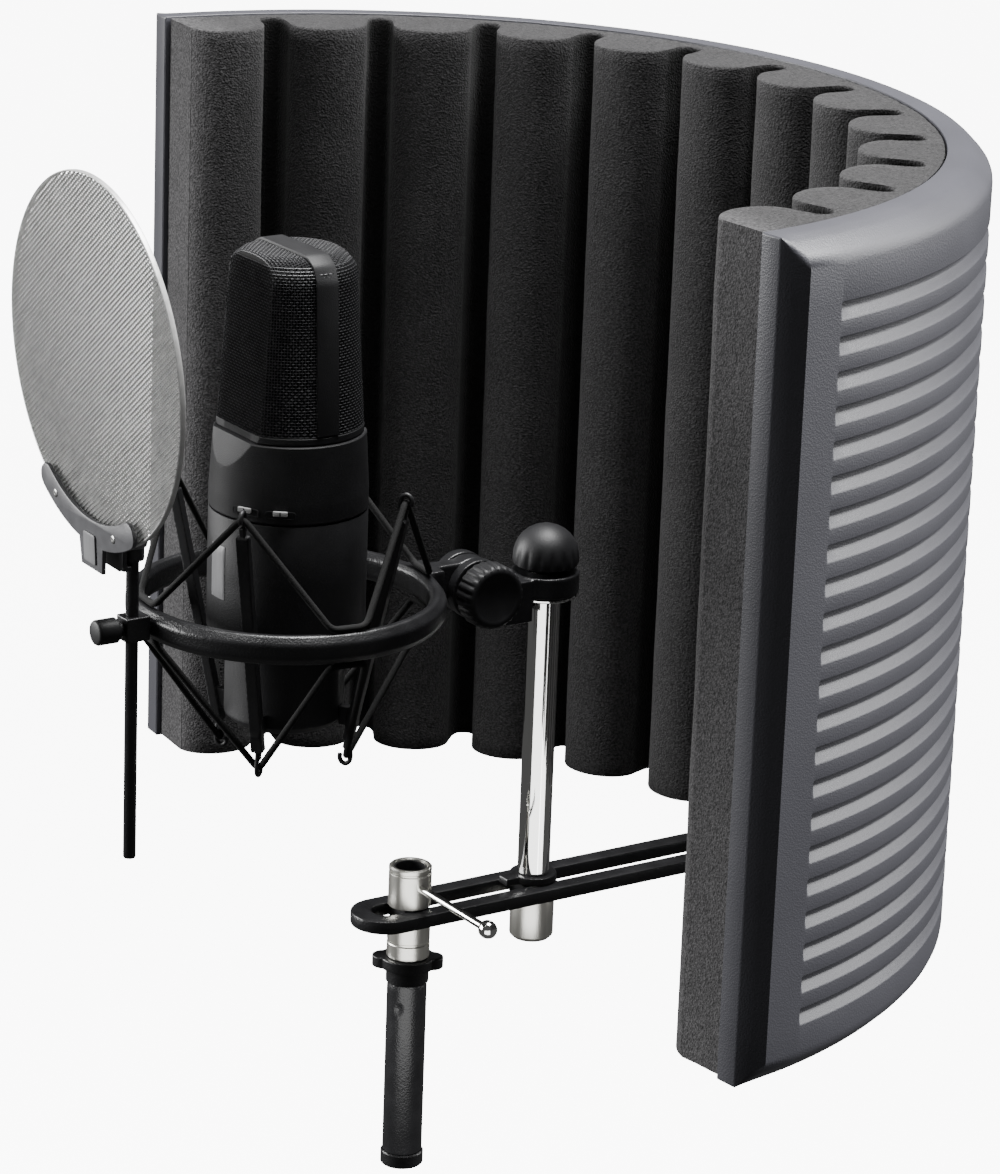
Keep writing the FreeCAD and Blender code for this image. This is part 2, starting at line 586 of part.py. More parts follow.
# ---------------------------------------------------------------- cradle and cords
def cradle():
    """A cup that the microphone screws into, and four leaning struts with cord hooks."""
    top, low = D["hook_top"] - 2.2, D["hook_bottom"] + 2.4
    for number in range(int(D["strut_count"])):
        angle = D["strut_turn"] + 90 * number
        lower = polar(D["hook_bottom_radius"], angle, low)
        upper = polar(D["hook_top_radius"], angle, top)
        along = upper - lower
        bar = Part.makeBox(3.6, 4.6, along.Length - 7.4, Vector(-1.8, -2.3, 3.7)).fuse(
            Part.makeBox(2.4, 1.8, along.Length, Vector(-1.2, -0.9, 0)))
        lean = FreeCAD.Rotation(Vector(0, 1, 0), math.degrees(math.atan2(
            D["hook_top_radius"] - D["hook_bottom_radius"], top - low)))
        bar.Placement = FreeCAD.Placement(lower, FreeCAD.Rotation(Vector(0, 0, 1), angle).multiply(lean))
        web = Part.makeBox(9.5, 3.6, 7, Vector(19.5, -1.8, D["cup_bottom"] + 1))
        web.rotate(Vector(), Vector(0, 0, 1), angle)
        cup = Part.makeCylinder(D["cup_radius"], 60, Vector(0, 0, 180))
        free_shape(f"cradle_strut_{number + 1}", bar.fuse(web).cut(cup).removeSplitter(), CRADLE)
    turned("cradle_cup", [
        ("8", "dim.cup_bottom"), ("dim.cup_radius - 3", "dim.cup_bottom"),
        ("dim.cup_radius", "dim.cup_bottom + 3"), ("dim.cup_radius", "dim.mic_bottom - 0.2"),
        ("15", "dim.mic_bottom - 0.2"), ("15", "dim.mic_bottom - 8"), ("12.4", "dim.mic_bottom - 8"),
        ("12.4", "dim.cup_bottom + 4"), ("8", "dim.cup_bottom + 4")], CRADLE)


def elastic(label, hook_radius, hook_height, hoop_height):
    """Elastic cord: from each hook two legs run to the hoop, and a short link joins them there."""
    radius, spread = D["cord_radius"], D["cord_spread"]
    hoop = D["ring_radius"] - D["ring_section"] / 2
    path = []
    for number in range(int(D["strut_count"])):
        angle = D["strut_turn"] + 90 * number
        path += [polar(hoop, angle - spread, hoop_height), polar(hook_radius, angle, hook_height),
                 polar(hoop, angle + spread, hoop_height)]
    shape = None
    for start, end in zip(path, path[1:] + path[:1]):
        leg = Part.makeCylinder(radius, (end - start).Length, start, end - start)
        joint = Part.makeSphere(radius, start)
        shape = leg.fuse(joint) if shape is None else shape.fuse([leg, joint])
    return free_shape(label, shape, CRADLE)


# ---------------------------------------------------------------- microphone
def flats(body, low_offset, low, high_offset, high):
    """Cut a turned body flat, front and back, along planes that lean between two offsets."""
    for name, sign in (("front", "-"), ("back", "")):
        side = outline(body, f"{body.Label}_{name}", "YZ_Plane", [
            (f"{sign}({low_offset})", low), (f"{sign}(40)", low), (f"{sign}(40)", high),
            (f"{sign}({high_offset})", high)])
        body.Tip = pad(body, side, "0", cut=True, through=True)


def head(name, corners, grow):
    """A filled, turned blank of the microphone's head with its two flats moved out by grow."""
    body = doc.addObject("PartDesign::Body", name)
    revolve(body, outline(body, name + "_profile", "YZ_Plane", corners))
    flats(body, f"dim.flat_low + {grow}", "dim.grille_bottom - 2", f"dim.flat_high + {grow}",
          "dim.mic_top - 4")
    body.Placement = CRADLE
    return body


def microphone():
    low, seam, mesh, top = "dim.mic_bottom", "dim.mic_seam", "dim.grille_bottom", "dim.mic_top"
    turned("mic_base", [
        ("11", low), ("dim.mic_radius - 6", low), ("dim.mic_radius - 1.6", f"{low} + 2.2"),
        ("dim.mic_radius", f"{low} + 7"), ("dim.mic_radius", f"{seam} - 0.4"),
        ("dim.mic_radius - dim.mic_wall", f"{seam} - 0.4"),
        ("dim.mic_radius - dim.mic_wall", f"{low} + 8"), ("dim.mic_radius - 7", f"{low} + 3"),
        ("11", f"{low} + 3")], CRADLE)
    body = turned("mic_body", [
        ("dim.mic_radius - dim.mic_wall", seam), ("dim.mic_radius", seam), ("dim.mic_radius", f"{seam} + 7"),
        ("dim.grille_radius + 1.3", f"{mesh} - 0.4"), ("21.6", f"{mesh} - 0.4"), ("21.6", f"{mesh} - 7"),
        ("dim.mic_radius - dim.mic_wall", f"{mesh} - 14")], CRADLE)
    flats(body, "29.6", f"{mesh} - 14", "23.7", f"{mesh} + 0.4")
    ring = head("ring_outer", [
        (0.0, mesh), ("dim.grille_radius + 0.4", mesh), ("dim.grille_radius + 0.4", f"{mesh} + 2.6"),
        (0.0, f"{mesh} + 2.6")], "0.4")
    opening = head("ring_inner", [(0.0, f"{mesh} - 1"), ("dim.grille_radius - 2.4", f"{mesh} - 1"),
                                  ("dim.grille_radius - 2.4", f"{mesh} + 4"), (0.0, f"{mesh} + 4")], "-2.4")
    node(cut(ring, opening), "grille_ring")
    skin = head("grille_outer", [
        (0.0, f"{mesh} + 2.8"), ("dim.grille_radius", f"{mesh} + 2.8"),
        ("dim.grille_top_radius", f"{top} - 9"),
        ("dim.grille_top_radius - 2.4", f"{top} - 3.6"), ("dim.grille_top_radius - 7.5", f"{top} - 0.9"),
        (0.0, f"{top} - 0.9")], "0")
    hollow = head("grille_inner", [
        (0.0, f"{mesh} + 1"), ("dim.grille_radius - 1.2", f"{mesh} + 1"),
        ("dim.grille_top_radius - 1.2", f"{top} - 9.4"),
        ("dim.grille_top_radius - 3.6", f"{top} - 4.6"), ("dim.grille_top_radius - 8", f"{top} - 2.1"),
        (0.0, f"{top} - 2.1")], "-1.2")
    node(cut(skin, hollow), "mic_grille")
    band = doc.addObject("PartDesign::Body", "band_blank")
    arch = outline(band, "band_arch", "XZ_Plane", [
        ("dim.grille_radius + 0.5", f"{mesh} + 2.9"), ("dim.grille_top_radius + 0.7", f"{top} - 8.8"),
        ("dim.grille_top_radius - 2", f"{top} - 2.8"), ("dim.grille_top_radius - 7.2", top),
        ("-dim.grille_top_radius + 7.2", top), ("-dim.grille_top_radius + 2", f"{top} - 2.8"),
        ("-dim.grille_top_radius - 0.7", f"{top} - 8.8"), ("-dim.grille_radius - 0.5", f"{mesh} + 2.9")])
    pad(band, arch, "9")
    band.Placement = CRADLE
    core = doc.addObject("PartDesign::Body", "band_core")
    revolve(core, outline(core, "band_core_profile", "YZ_Plane", [
        (0.0, mesh), ("dim.grille_radius + 0.05", mesh), ("dim.grille_radius + 0.05", f"{mesh} + 2.8"),
        ("dim.grille_top_radius + 0.05", f"{top} - 9"), ("dim.grille_top_radius - 2.35", f"{top} - 3.5"),
        ("dim.grille_top_radius - 7.5", f"{top} - 0.8"), (0.0, f"{top} - 0.8")]))
    core.Placement = CRADLE
    node(cut(band, core, "grille_band"), "grille_band")
    turned("capsule_mount", [
        ("5", f"{mesh} - 3.6"), ("21.3", f"{mesh} - 3.6"), ("21.3", f"{mesh} - 1"),
        ("9", f"{mesh} - 1"), ("7", "313.4"), ("5", "313.4")], CRADLE)
    disc = FreeCAD.Placement(Vector(0, -D["cradle_front"] + 5, 331), FreeCAD.Rotation(Vector(1, 0, 0), 90))
    turned("capsule", [
        (0.0, "0"), ("15.4", "0"), ("17", "1.4"), ("17", "8.6"), ("15.4", "10"), (0.0, "10")], disc)
    node(box("36", "1.6", "58", at(0, -D["cradle_front"], 228), "circuit_board"), "circuit_board")
    turned("xlr_shell", [
        ("8.2", "214.6"), ("10.9", "214.6"), ("10.9", "227"), (0.0, "227"), (0.0, "224.5"),
        ("8.2", "224.5")], CRADLE)
    pins = [cylinder("1.2", "8.6", at(spot.x, spot.y - D["cradle_front"], 215.4), "xlr_pin")
            for spot in (polar(4.6, 90 + 120 * number) for number in range(3))]
    base = cylinder("8", "1.4", at(0, -D["cradle_front"], 223), "xlr_base")
    node(fuse([base] + pins), "xlr_insert")
    # Front plate of the body: two slide switches and a plain badge, all facing the opening.
    for number, angle in enumerate((-62.5, -36.5), start=1):
        spot = polar(D["mic_radius"] + 0.9, angle, 277.5) - Vector(0, D["cradle_front"], 0)
        turn = FreeCAD.Rotation(Vector(0, 0, 1), angle + 90)
        slide = box("5.2", "1.2", "1.8", FreeCAD.Placement(spot, turn), f"slide_{number}")
        node(slide, f"mic_switch_{number}")
    plate = cylinder("dim.mic_radius + 0.5", "20", at(0, -D["cradle_front"], 242), "badge_curve")
    inner = cylinder("dim.mic_radius + 0.05", "20", at(0, -D["cradle_front"], 242), "badge_inner")
    window = box("9", "12", "20", at(0, -D["cradle_front"] - 29, 242), "badge_window")
    common = doc.addObject("Part::Common", "badge_blank")
    common.Base = cut(plate, inner)
    common.Tool = window
    node(common, "mic_badge")


# ---------------------------------------------------------------- pop screen
def pop_screen():
    rod_y, clamp_z = -D["pop_offset"], D["rod_clamp_height"]
    block = box("8.2", "9.4", "9", at(0, rod_y + 0.6, clamp_z - 4.5), "clamp_block_blank")
    bore = cylinder("dim.rod_radius + 0.06", "40", at(0, rod_y, 220), "clamp_rod_bore")
    hoop = cylinder("dim.ring_radius + 0.05", "40", at(0, -D["cradle_front"], 215), "clamp_hoop_cut")
    screw_hole = cylinder("1.56", "20", FreeCAD.Placement(Vector(0, rod_y - 12, clamp_z), Y_UP),
                          "clamp_thread")
    node(cut(block, fuse([bore, hoop, screw_hole]), "rod_clamp"), "rod_clamp")
    placement = FreeCAD.Placement(Vector(0, rod_y, clamp_z), FreeCAD.Rotation(Vector(1, 0, 0), 90))
    turned("thumb_screw", [
        (0.0, "2.4"), ("1.5", "2.4"), ("1.5", "4.8"), ("2.8", "4.8"), ("2.8", "6.2"), ("4.7", "6.8"),
        ("4.7", "14.4"), ("3.9", "15.2"), (0.0, "15.2")], placement)
    turned("pop_rod", [
        (0.0, "dim.rod_bottom"), ("dim.rod_radius - 0.6", "dim.rod_bottom"),
        ("dim.rod_radius", "dim.rod_bottom + 0.6"), ("dim.rod_radius", "dim.rod_top"), (0.0, "dim.rod_top")],
        at(0, rod_y, 0))


def screen_disc():
    """Two layers of mesh in a slim rim, held at its lower edge by a clip on the rod's head."""
    turn = FreeCAD.Rotation(Vector(0, 0, 1), D["screen_turn"])
    tilt = turn.multiply(FreeCAD.Rotation(Vector(1, 0, 0), 90 + D["screen_lean"]))
    centre = FreeCAD.Placement(Vector(0, -D["screen_offset"], D["screen_height"]), tilt)
    sleeve("screen_rim", "dim.screen_radius", "dim.screen_radius - 1.8", "-2.2", "2.2", centre)
    for name, low, high in (("mesh_front", 0.9, 1.5), ("mesh_back", -1.5, -0.9)):
        turned(name, [
            (0.0, f"{low}"), ("dim.screen_radius - 2", f"{low}"), ("dim.screen_radius - 2", f"{high}"),
            (0.0, f"{high}")], centre)
    rod_y = -D["pop_offset"]
    for name, low, high in (("screen_clip", 2.4, 4.2), ("clip_back", -4.2, -2.4)):
        plate = doc.addObject("PartDesign::Body", name)
        profile = sketch_on(plate, name + "_profile", "XY_Plane")
        trim = 0 if name == "screen_clip" else 13
        first, last = D["clip_first"] + trim, D["clip_last"] - trim * 0.4
        outer, inner = D["screen_radius"] + 0.6, D["screen_radius"] - 9
        ends = [polar(radius, degrees) for degrees in (first, last) for radius in (inner, outer)]
        corner, side = polar(outer, -99), polar(outer, -83)
        drop = -D["screen_radius"] - 9.5
        tab = [Vector(corner.x, drop, 0), Vector(side.x, drop, 0)]
        start_cap, end_cap = polar((inner + outer) / 2, first - 5), polar((inner + outer) / 2, last + 5)
        profile.addGeometry([
            Part.Arc(ends[0], polar(inner, (first + last) / 2), ends[2]),
            Part.Arc(ends[2], end_cap, ends[3]),
            Part.Arc(ends[3], polar(outer, (last - 83) / 2), side),
            Part.LineSegment(side, tab[1]),
            Part.LineSegment(tab[1], tab[0]),
            Part.LineSegment(tab[0], corner),
            Part.Arc(corner, polar(outer, (first - 99) / 2), ends[1]),
            Part.Arc(ends[1], start_cap, ends[0])], False)
        pad(plate, profile, f"{high - low}", symmetric=False)
        plate.Placement = centre.multiply(at(0, 0, low))
        node(plate, name)
    badge = box("9", "11", "0.6", centre.multiply(at(-1.2, -D["screen_radius"] - 1.6, 4.25)), "badge_plate")
    node(badge, "clip_badge")
    bend = [box("8", "1.6", "12", at(0, -126.6, 258.5), "bracket_upright"),
            box("8", "3.4", "1.6", at(0, -127.3 + 1.6, 258.5), "bracket_foot")]
    node(fuse(bend), "screen_bracket")
    # The head is round, so that the bracket can turn about it.
    head_blank = cylinder("dim.head_radius", "9", at(0, rod_y, D["rod_top"] - 3), "rod_head_blank")
    seat = cylinder("dim.rod_radius", "10", at(0, rod_y, D["rod_top"] - 10), "rod_head_bore")
    node(cut(head_blank, seat, "rod_head"), "rod_head")


outer_shell()
absorber_layers()
foam_liner()
slotted_arm()
arm_fixings()
stand_coupling()
mic_post()
swivel()
suspension_ring()
cradle()
ring_top, clearance = D["ring_bottom"] + D["ring_height"], D["cord_radius"] + 0.05
elastic("elastic_upper", D["hook_top_radius"], D["hook_top"] + 1.4, ring_top + clearance)
elastic("elastic_lower", D["hook_bottom_radius"], D["hook_bottom"] - 1.4, D["ring_bottom"] - clearance)
microphone()
pop_screen()
screen_disc()

# ---------------------------------------------------------------- checks and files
doc.recompute()
failed = [item.Label for item in doc.Objects if "Invalid" in item.State or "Error" in item.State]
if failed:
    raise SystemExit(f"objects that failed to build: {failed}")
for item in NODES:
    if item.Shape.isNull() or not item.Shape.isValid():
        raise SystemExit(f"bad shape: {item.Label}")
    if len(item.Shape.Solids) != 1:
        print("note:", item.Label, "has", len(item.Shape.Solids), "solids")
os.makedirs("parts", exist_ok=True)
for item in NODES:
    item.Shape.exportStep(f"parts/{item.Label}.step")
print(len(NODES), "sub-parts written")
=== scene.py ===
"""Looks for the microphone isolation shield: shell, foam, stand, shock mount, microphone, pop screen.

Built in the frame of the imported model: +Z up, the shield opens towards -Y, and the origin is the lower
end of the stand tube. Sizes of the pieces are in millimetres, and mesh_piece turns them into metres.
"""
import math
import bpy
import bmesh
from mathutils import Matrix, Vector, noise


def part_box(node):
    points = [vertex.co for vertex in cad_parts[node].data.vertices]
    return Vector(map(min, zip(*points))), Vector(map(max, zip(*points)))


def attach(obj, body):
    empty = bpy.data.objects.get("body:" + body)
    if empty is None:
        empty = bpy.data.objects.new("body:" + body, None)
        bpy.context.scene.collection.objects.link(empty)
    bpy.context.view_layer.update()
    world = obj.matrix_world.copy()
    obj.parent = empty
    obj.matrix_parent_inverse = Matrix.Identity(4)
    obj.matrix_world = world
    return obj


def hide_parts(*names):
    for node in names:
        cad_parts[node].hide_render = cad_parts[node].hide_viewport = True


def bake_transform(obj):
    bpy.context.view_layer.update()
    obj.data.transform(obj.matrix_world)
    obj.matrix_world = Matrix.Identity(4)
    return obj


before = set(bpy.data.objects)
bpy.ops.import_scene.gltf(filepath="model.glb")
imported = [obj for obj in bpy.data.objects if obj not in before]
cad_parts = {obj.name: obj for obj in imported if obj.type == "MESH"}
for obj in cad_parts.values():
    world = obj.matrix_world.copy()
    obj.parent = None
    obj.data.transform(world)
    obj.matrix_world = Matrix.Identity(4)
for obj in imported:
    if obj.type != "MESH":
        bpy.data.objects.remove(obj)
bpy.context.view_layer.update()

MM = 0.001
Z_AXIS = Vector((0, 0, 1))


# ---------------------------------------------------------------- camera, light and floor
def placed(name, data):
    """A new object in the scene that holds this mesh, light, camera or curve."""
    obj = bpy.data.objects.new(name, data)
    bpy.context.scene.collection.objects.link(obj)
    return obj


def camera():
    """Looks at the shield's open side from above its right wing, as a long lens does."""
    azimuth, elevation, roll = math.radians(56.05), math.radians(17.87), math.radians(2.12)
    back = Vector((math.sin(azimuth) * math.cos(elevation), -math.cos(azimuth) * math.cos(elevation),
        math.sin(elevation)))
    turn = (-back).to_track_quat("-Z", "Y") @ Matrix.Rotation(roll, 4, "Z").to_quaternion()
    data = bpy.data.cameras.new("camera")
    data.sensor_width = 36.0
    data.lens = 140.98
    obj = placed("camera", data)
    obj.location = (1.3629, -0.8815, 0.7575)
    obj.rotation_mode = "QUATERNION"
    obj.rotation_quaternion = turn
    bpy.context.scene.camera = obj


def area_light(name, place, target, size, power):
    """A rectangular light at a place in metres, turned towards a target."""
    data = bpy.data.lights.new(name, "AREA")
    data.shape = "RECTANGLE"
    data.size, data.size_y = size
    data.energy = power
    obj = placed(name, data)
    obj.location = place
    obj.rotation_mode = "QUATERNION"
    obj.rotation_quaternion = (Vector(target) - Vector(place)).to_track_quat("-Z", "Y")
    return obj


def linked_light(receivers, *description):
    """An area light that only reaches the named pieces."""
    obj = area_light(*description)
    obj.visible_camera = False
    group = bpy.data.collections.new(obj.name + "_receivers")
    for name in receivers:
        group.objects.link(bpy.data.objects[name])
    obj.light_linking.receiver_collection = group


def linked_lights():
    """A high light that rakes the shell's ribs, and white cards that the bright metal mirrors."""
    linked_light(["shell"], "rib_light", (0.95, 1.3, 1.9), (0.2, 0.1, 0.3), (0.7, 0.6), 92.0)
    bright = ["post_rod", "post_nut_body", "coupling_sleeve", "clamp_nut_body", "tommy_handle",
        "post_washer_body", "stand_tube_body"]
    linked_light(bright, "metal_card", (0.42, -0.3, -0.05), (0.0, 0.02, 0.12), (0.8, 0.45), 4.2)
    linked_light(["post_rod"], "post_card", (0.15, 0.085, 0.13), (0.0, 0.056, 0.16), (0.09, 0.26), 0.3)


def studio():
    """A white floor and backdrop that light nothing, and soft boxes overhead, in front and behind."""
    world = bpy.data.worlds.new("studio")
    world.use_nodes = True
    world.node_tree.nodes["Background"].inputs["Color"].default_value = (1.0, 1.0, 1.0, 1.0)
    world.node_tree.nodes["Background"].inputs["Strength"].default_value = 0.08
    bpy.context.scene.world = world
    area_light("overhead", (0.0, 0.15, 1.4), (0.0, 0.05, 0.35), (0.6, 0.6), 45.0)
    area_light("front_left", (-1.6, -1.8, 0.7), (0.0, 0.0, 0.25), (1.6, 1.2), 130.0)
    area_light("back_right", (0.95, 2.0, 0.9), (0.1, 0.1, 0.25), (1.7, 1.5), 60.0)
    backdrop = lathe("backdrop", [(0, -950), (12000, -950), (13500, -600), (14300, 400), (14500, 2000),
        (14500, 14000)], "backdrop_white")
    for kind in ("diffuse", "glossy", "transmission", "volume_scatter", "shadow"):
        setattr(backdrop, f"visible_{kind}", False)


# ---------------------------------------------------------------- materials
def shader_node(tree, kind, operation=None, inputs=(), **sockets):
    """A shader node. Its sockets, by place or by name, get a number or the link from another node."""
    node = tree.nodes.new("ShaderNode" + kind)
    if operation:
        node.operation = operation
    named = [(node.inputs[name.replace("_", " ")], value) for name, value in sockets.items()]
    for socket, value in [*zip(node.inputs, inputs), *named]:
        if isinstance(value, bpy.types.NodeSocket):
            tree.links.new(value, socket)
        else:
            socket.default_value = value
    return node


def surface(name, colour, roughness, metallic=0.0, tone_change=0.15, tone_scale=60.0, rough_change=0.06,
        grain=900.0, grain_height=0.0, grain_kind="noise", stretch=(1, 1, 1), **sockets):
    """A Principled material whose colour, roughness and surface vary with a noise of the right scale.

    tone_change is the share by which the colour varies, grain the bumps per metre, grain_height
    their height in metres. Other sockets of the shader are set by name, with _ for a space.
    """
    material = bpy.data.materials.new(name)
    material.use_nodes = True
    tree = material.node_tree
    shader = tree.nodes["Principled BSDF"]
    shader.inputs["Metallic"].default_value = metallic
    for socket, value in sockets.items():
        shader.inputs[socket.replace("_", " ")].default_value = value
    place = shader_node(tree, "TexCoord")
    where = shader_node(tree, "Mapping", Vector=place.outputs["Object"], Scale=stretch).outputs["Vector"]
    tone = shader_node(tree, "TexNoise", Vector=where, Scale=tone_scale, Detail=5.0).outputs["Fac"]
    ramp = shader_node(tree, "ValToRGB", Fac=tone)
    for element, position, change in zip(ramp.color_ramp.elements, (0.3, 0.7), (-tone_change, tone_change)):
        element.position = position
        element.color = (*[min(1.0, c * (1 + change)) for c in colour], 1.0)
    tree.links.new(ramp.outputs["Color"], shader.inputs["Base Color"])
    rough = shader_node(tree, "MapRange", Value=tone, To_Min=max(0.02, roughness - rough_change),
        To_Max=min(1.0, roughness + rough_change))
    tree.links.new(rough.outputs["Result"], shader.inputs["Roughness"])
    if grain_height > 0:
        if grain_kind == "cells":
            height = shader_node(tree, "TexVoronoi", Vector=where, Scale=grain).outputs["Distance"]
        else:
            height = shader_node(tree, "TexNoise", Vector=where, Scale=grain, Detail=3.0).outputs["Fac"]
        bump = shader_node(tree, "Bump", Height=height, Distance=grain_height)
        tree.links.new(bump.outputs["Normal"], shader.inputs["Normal"])
    return material


def painted_slot_shade_and_end_light(tree, place):
    """Socket that scales the foam's colour: 1 on its lobes, painted light that makes the cut ends paler,
    painted shade deep in the slots.
    """
    def ranged(source, first, last, low, high):
        node = shader_node(tree, "MapRange", Value=source, From_Min=first, From_Max=last,
            To_Min=low, To_Max=high)
        node.interpolation_type = "SMOOTHSTEP"
        return node.outputs["Result"]

    def product(first, second):
        return shader_node(tree, "Math", "MULTIPLY", (first, second)).outputs["Value"]

    split = shader_node(tree, "SeparateXYZ", inputs=(place,))
    flat = shader_node(tree, "VectorMath", "MULTIPLY_ADD", (place, (1.0, 1.0, 0.0), (0.0, -SHIELD_AXIS_Y
        * MM, 0.0)))
    radius = shader_node(tree, "VectorMath", "LENGTH", (flat.outputs["Vector"],)).outputs["Value"]
    foot, top = SHIELD_BASE, SHIELD_BASE + SHELL_HEIGHT
    slot_mouth, slot_dark, rim, below_rim = 0.177, 0.184, 0.8, 2.5
    cut_end, past_end, painted_end_light_gain = 0.0, 0.022, 1.9
    # Painted shade: the colour darkens deep in the slots, where shade falls, except near the rims and the cut
    # ends.
    deep = ranged(radius, slot_mouth, slot_dark, 0.0, 0.9)
    above_foot = ranged(split.outputs["Z"], (foot + rim) * MM, (foot + below_rim) * MM, 0.0, 1.0)
    below_top = ranged(split.outputs["Z"], (top - below_rim) * MM, (top - rim) * MM, 1.0, 0.0)
    off_ends = ranged(split.outputs["Y"], 0.012, 0.020, 0.0, 1.0)
    shade = product(product(deep, off_ends), product(above_foot, below_top))
    # Painted light: the foam near the cut ends at the opening is made paler, as if light fell on it there.
    painted_end_light = ranged(split.outputs["Y"], cut_end, past_end, painted_end_light_gain, 1.0)
    return product(ranged(shade, 0.0, 1.0, 1.0, 0.0), painted_end_light)


def foam_material():
    """Open-cell foam: dark pores between pale cell walls, over slow changes of tone, with painted shade deep
    in the slots and painted light on the cut ends.
    """
    material = surface("charcoal_foam", (0.0262, 0.0255, 0.0262), 0.95, tone_change=0.12, tone_scale=45,
        rough_change=0.04, Sheen_Weight=0.06, Sheen_Roughness=0.6, Specular_IOR_Level=0.2)
    tree = material.node_tree
    shader = tree.nodes["Principled BSDF"]
    place = tree.nodes["Texture Coordinate"].outputs["Object"]
    cells = shader_node(tree, "TexVoronoi", Vector=place, Scale=1300.0)
    pores = shader_node(tree, "TexNoise", Vector=place, Scale=1050.0, Detail=4.0).outputs["Fac"]
    pore_tone = shader_node(tree, "MapRange", Value=pores, From_Min=0.36, From_Max=0.64,
        To_Min=0.5, To_Max=1.5)
    # The pore tone times the painted slot shade and painted end light.
    tone = shader_node(tree, "Math", "MULTIPLY", (pore_tone.outputs["Result"], painted_slot_shade_and_end_light(tree, place)))
    speckle_and_painted_light = shader_node(tree, "VectorMath", "SCALE", (tree.nodes["Color Ramp"].outputs["Color"],),
        Scale=tone.outputs["Value"])
    tree.links.new(speckle_and_painted_light.outputs["Vector"], shader.inputs["Base Color"])
    fine = shader_node(tree, "Bump", Height=cells.outputs["Distance"], Distance=0.0003)
    coarse = shader_node(tree, "Bump", Height=pores, Distance=0.00025, Normal=fine.outputs["Normal"])
    tree.links.new(coarse.outputs["Normal"], shader.inputs["Normal"])
    return material


def make_materials():
    """One material for each slot of the record, and the few that only a detail needs."""
    black = (0.011, 0.011, 0.012)
    finishes = {}

    def finish(name, *look, **more):
        finishes[name] = surface(name, *look, **more)

    finish("shell_plastic", (0.05, 0.05, 0.059), 0.44, tone_change=0.06, tone_scale=25,
        rough_change=0.04, grain=1500, grain_height=0.00006, grain_kind="cells")
    finishes["liner_foam"] = foam_material()
    finish("felt", (0.16, 0.15, 0.14), 0.95, tone_change=0.4, tone_scale=700, grain=900,
        grain_height=0.0008, Sheen_Weight=0.3)
    finish("perforated_steel", (0.6, 0.6, 0.6), 0.4, 1.0, tone_scale=90,
        grain=500, grain_height=0.00005)
    finish("black_steel", black, 0.34, tone_change=0.25, tone_scale=120,
        grain=1300, grain_height=0.00007, grain_kind="cells")
    finish("satin_nickel", (0.66, 0.65, 0.6), 0.33, 1.0, tone_change=0.08,
        tone_scale=400, stretch=(1, 1, 0.06), grain=2600, grain_height=0.00003)
    finish("chrome_bright", (0.86, 0.86, 0.84), 0.06, 1.0, tone_change=0.02,
        tone_scale=40, rough_change=0.03, grain=60, grain_height=0.00002)
    finish("plain_steel", (0.42, 0.42, 0.41), 0.36, 1.0, tone_change=0.15,
        tone_scale=300, grain=1800, grain_height=0.00003)
    finish("bush_plastic", (0.014, 0.014, 0.015), 0.45, grain=1500, grain_height=0.00005)
    finish("knob_plastic", (0.011, 0.011, 0.012), 0.5, tone_change=0.2, tone_scale=150,
        grain=1800, grain_height=0.00006, Specular_IOR_Level=0.35)
    finish("cradle_plastic", (0.011, 0.011, 0.012), 0.5, tone_change=0.2,
        tone_scale=140, grain=1600, grain_height=0.00006)
    finish("elastic_cord", (0.009, 0.009, 0.009), 0.85, tone_change=0.5, tone_scale=1500,
        grain=2400, grain_height=0.0002, Specular_IOR_Level=0.3)
    finish("mic_black", (0.01, 0.01, 0.011), 0.55, tone_change=0.2, tone_scale=90, grain=2200,
        grain_height=0.00005, grain_kind="cells", Specular_IOR_Level=0.35)
    finish("mic_mesh", (0.032, 0.032, 0.034), 0.42, 0.4, tone_change=0.3, tone_scale=500,
        grain=3000, grain_height=0.00003)
    finish("mesh_lining", (0.006, 0.006, 0.006), 0.9, tone_change=0.4, tone_scale=500,
        grain=1200, grain_height=0.0003)
    finish("capsule_brass", (0.72, 0.55, 0.25), 0.3, 1.0, tone_scale=200)
    finish("inner_plastic", (0.05, 0.05, 0.05), 0.5, grain=1500, grain_height=0.00005)
    finish("board_green", (0.02, 0.12, 0.05), 0.4, tone_change=0.3, tone_scale=300)
    finish("xlr_nickel", (0.6, 0.6, 0.57), 0.3, 1.0, tone_scale=300)
    finish("switch_grey", (0.4, 0.4, 0.4), 0.45, grain=2500, grain_height=0.00004)
    finish("badge_grey", (0.2, 0.2, 0.205), 0.4, tone_change=0.1, tone_scale=500,
        stretch=(1, 1, 0.1), grain=2500, grain_height=0.00003)
    finish("screen_mesh", (0.7, 0.7, 0.69), 0.42, 0.6, tone_change=0.12, tone_scale=250,
        grain=4000, grain_height=0.00002)
    finish("clip_grey", (0.1, 0.1, 0.105), 0.4, tone_change=0.12, tone_scale=200,
        grain=2000, grain_height=0.00005)
    finish("backdrop_white", (0.9, 0.9, 0.9), 0.9, tone_change=0.01, tone_scale=3,
        Emission_Color=(1.0, 1.0, 1.0, 1.0), Emission_Strength=9.0)
    return finishes


# ---------------------------------------------------------------- mesh helpers
def mesh_piece(name, points, faces, finish, sharp=35.0):
    """A mesh object from points in millimetres, smooth where faces meet below the sharp angle."""
    mesh = bpy.data.meshes.new(name)
    mesh.from_pydata([tuple(Vector(p) * MM) for p in points], [], faces)
    mesh.materials.append(FINISH[finish])
    tidy_normals(mesh, sharp)
    return placed(name, mesh)


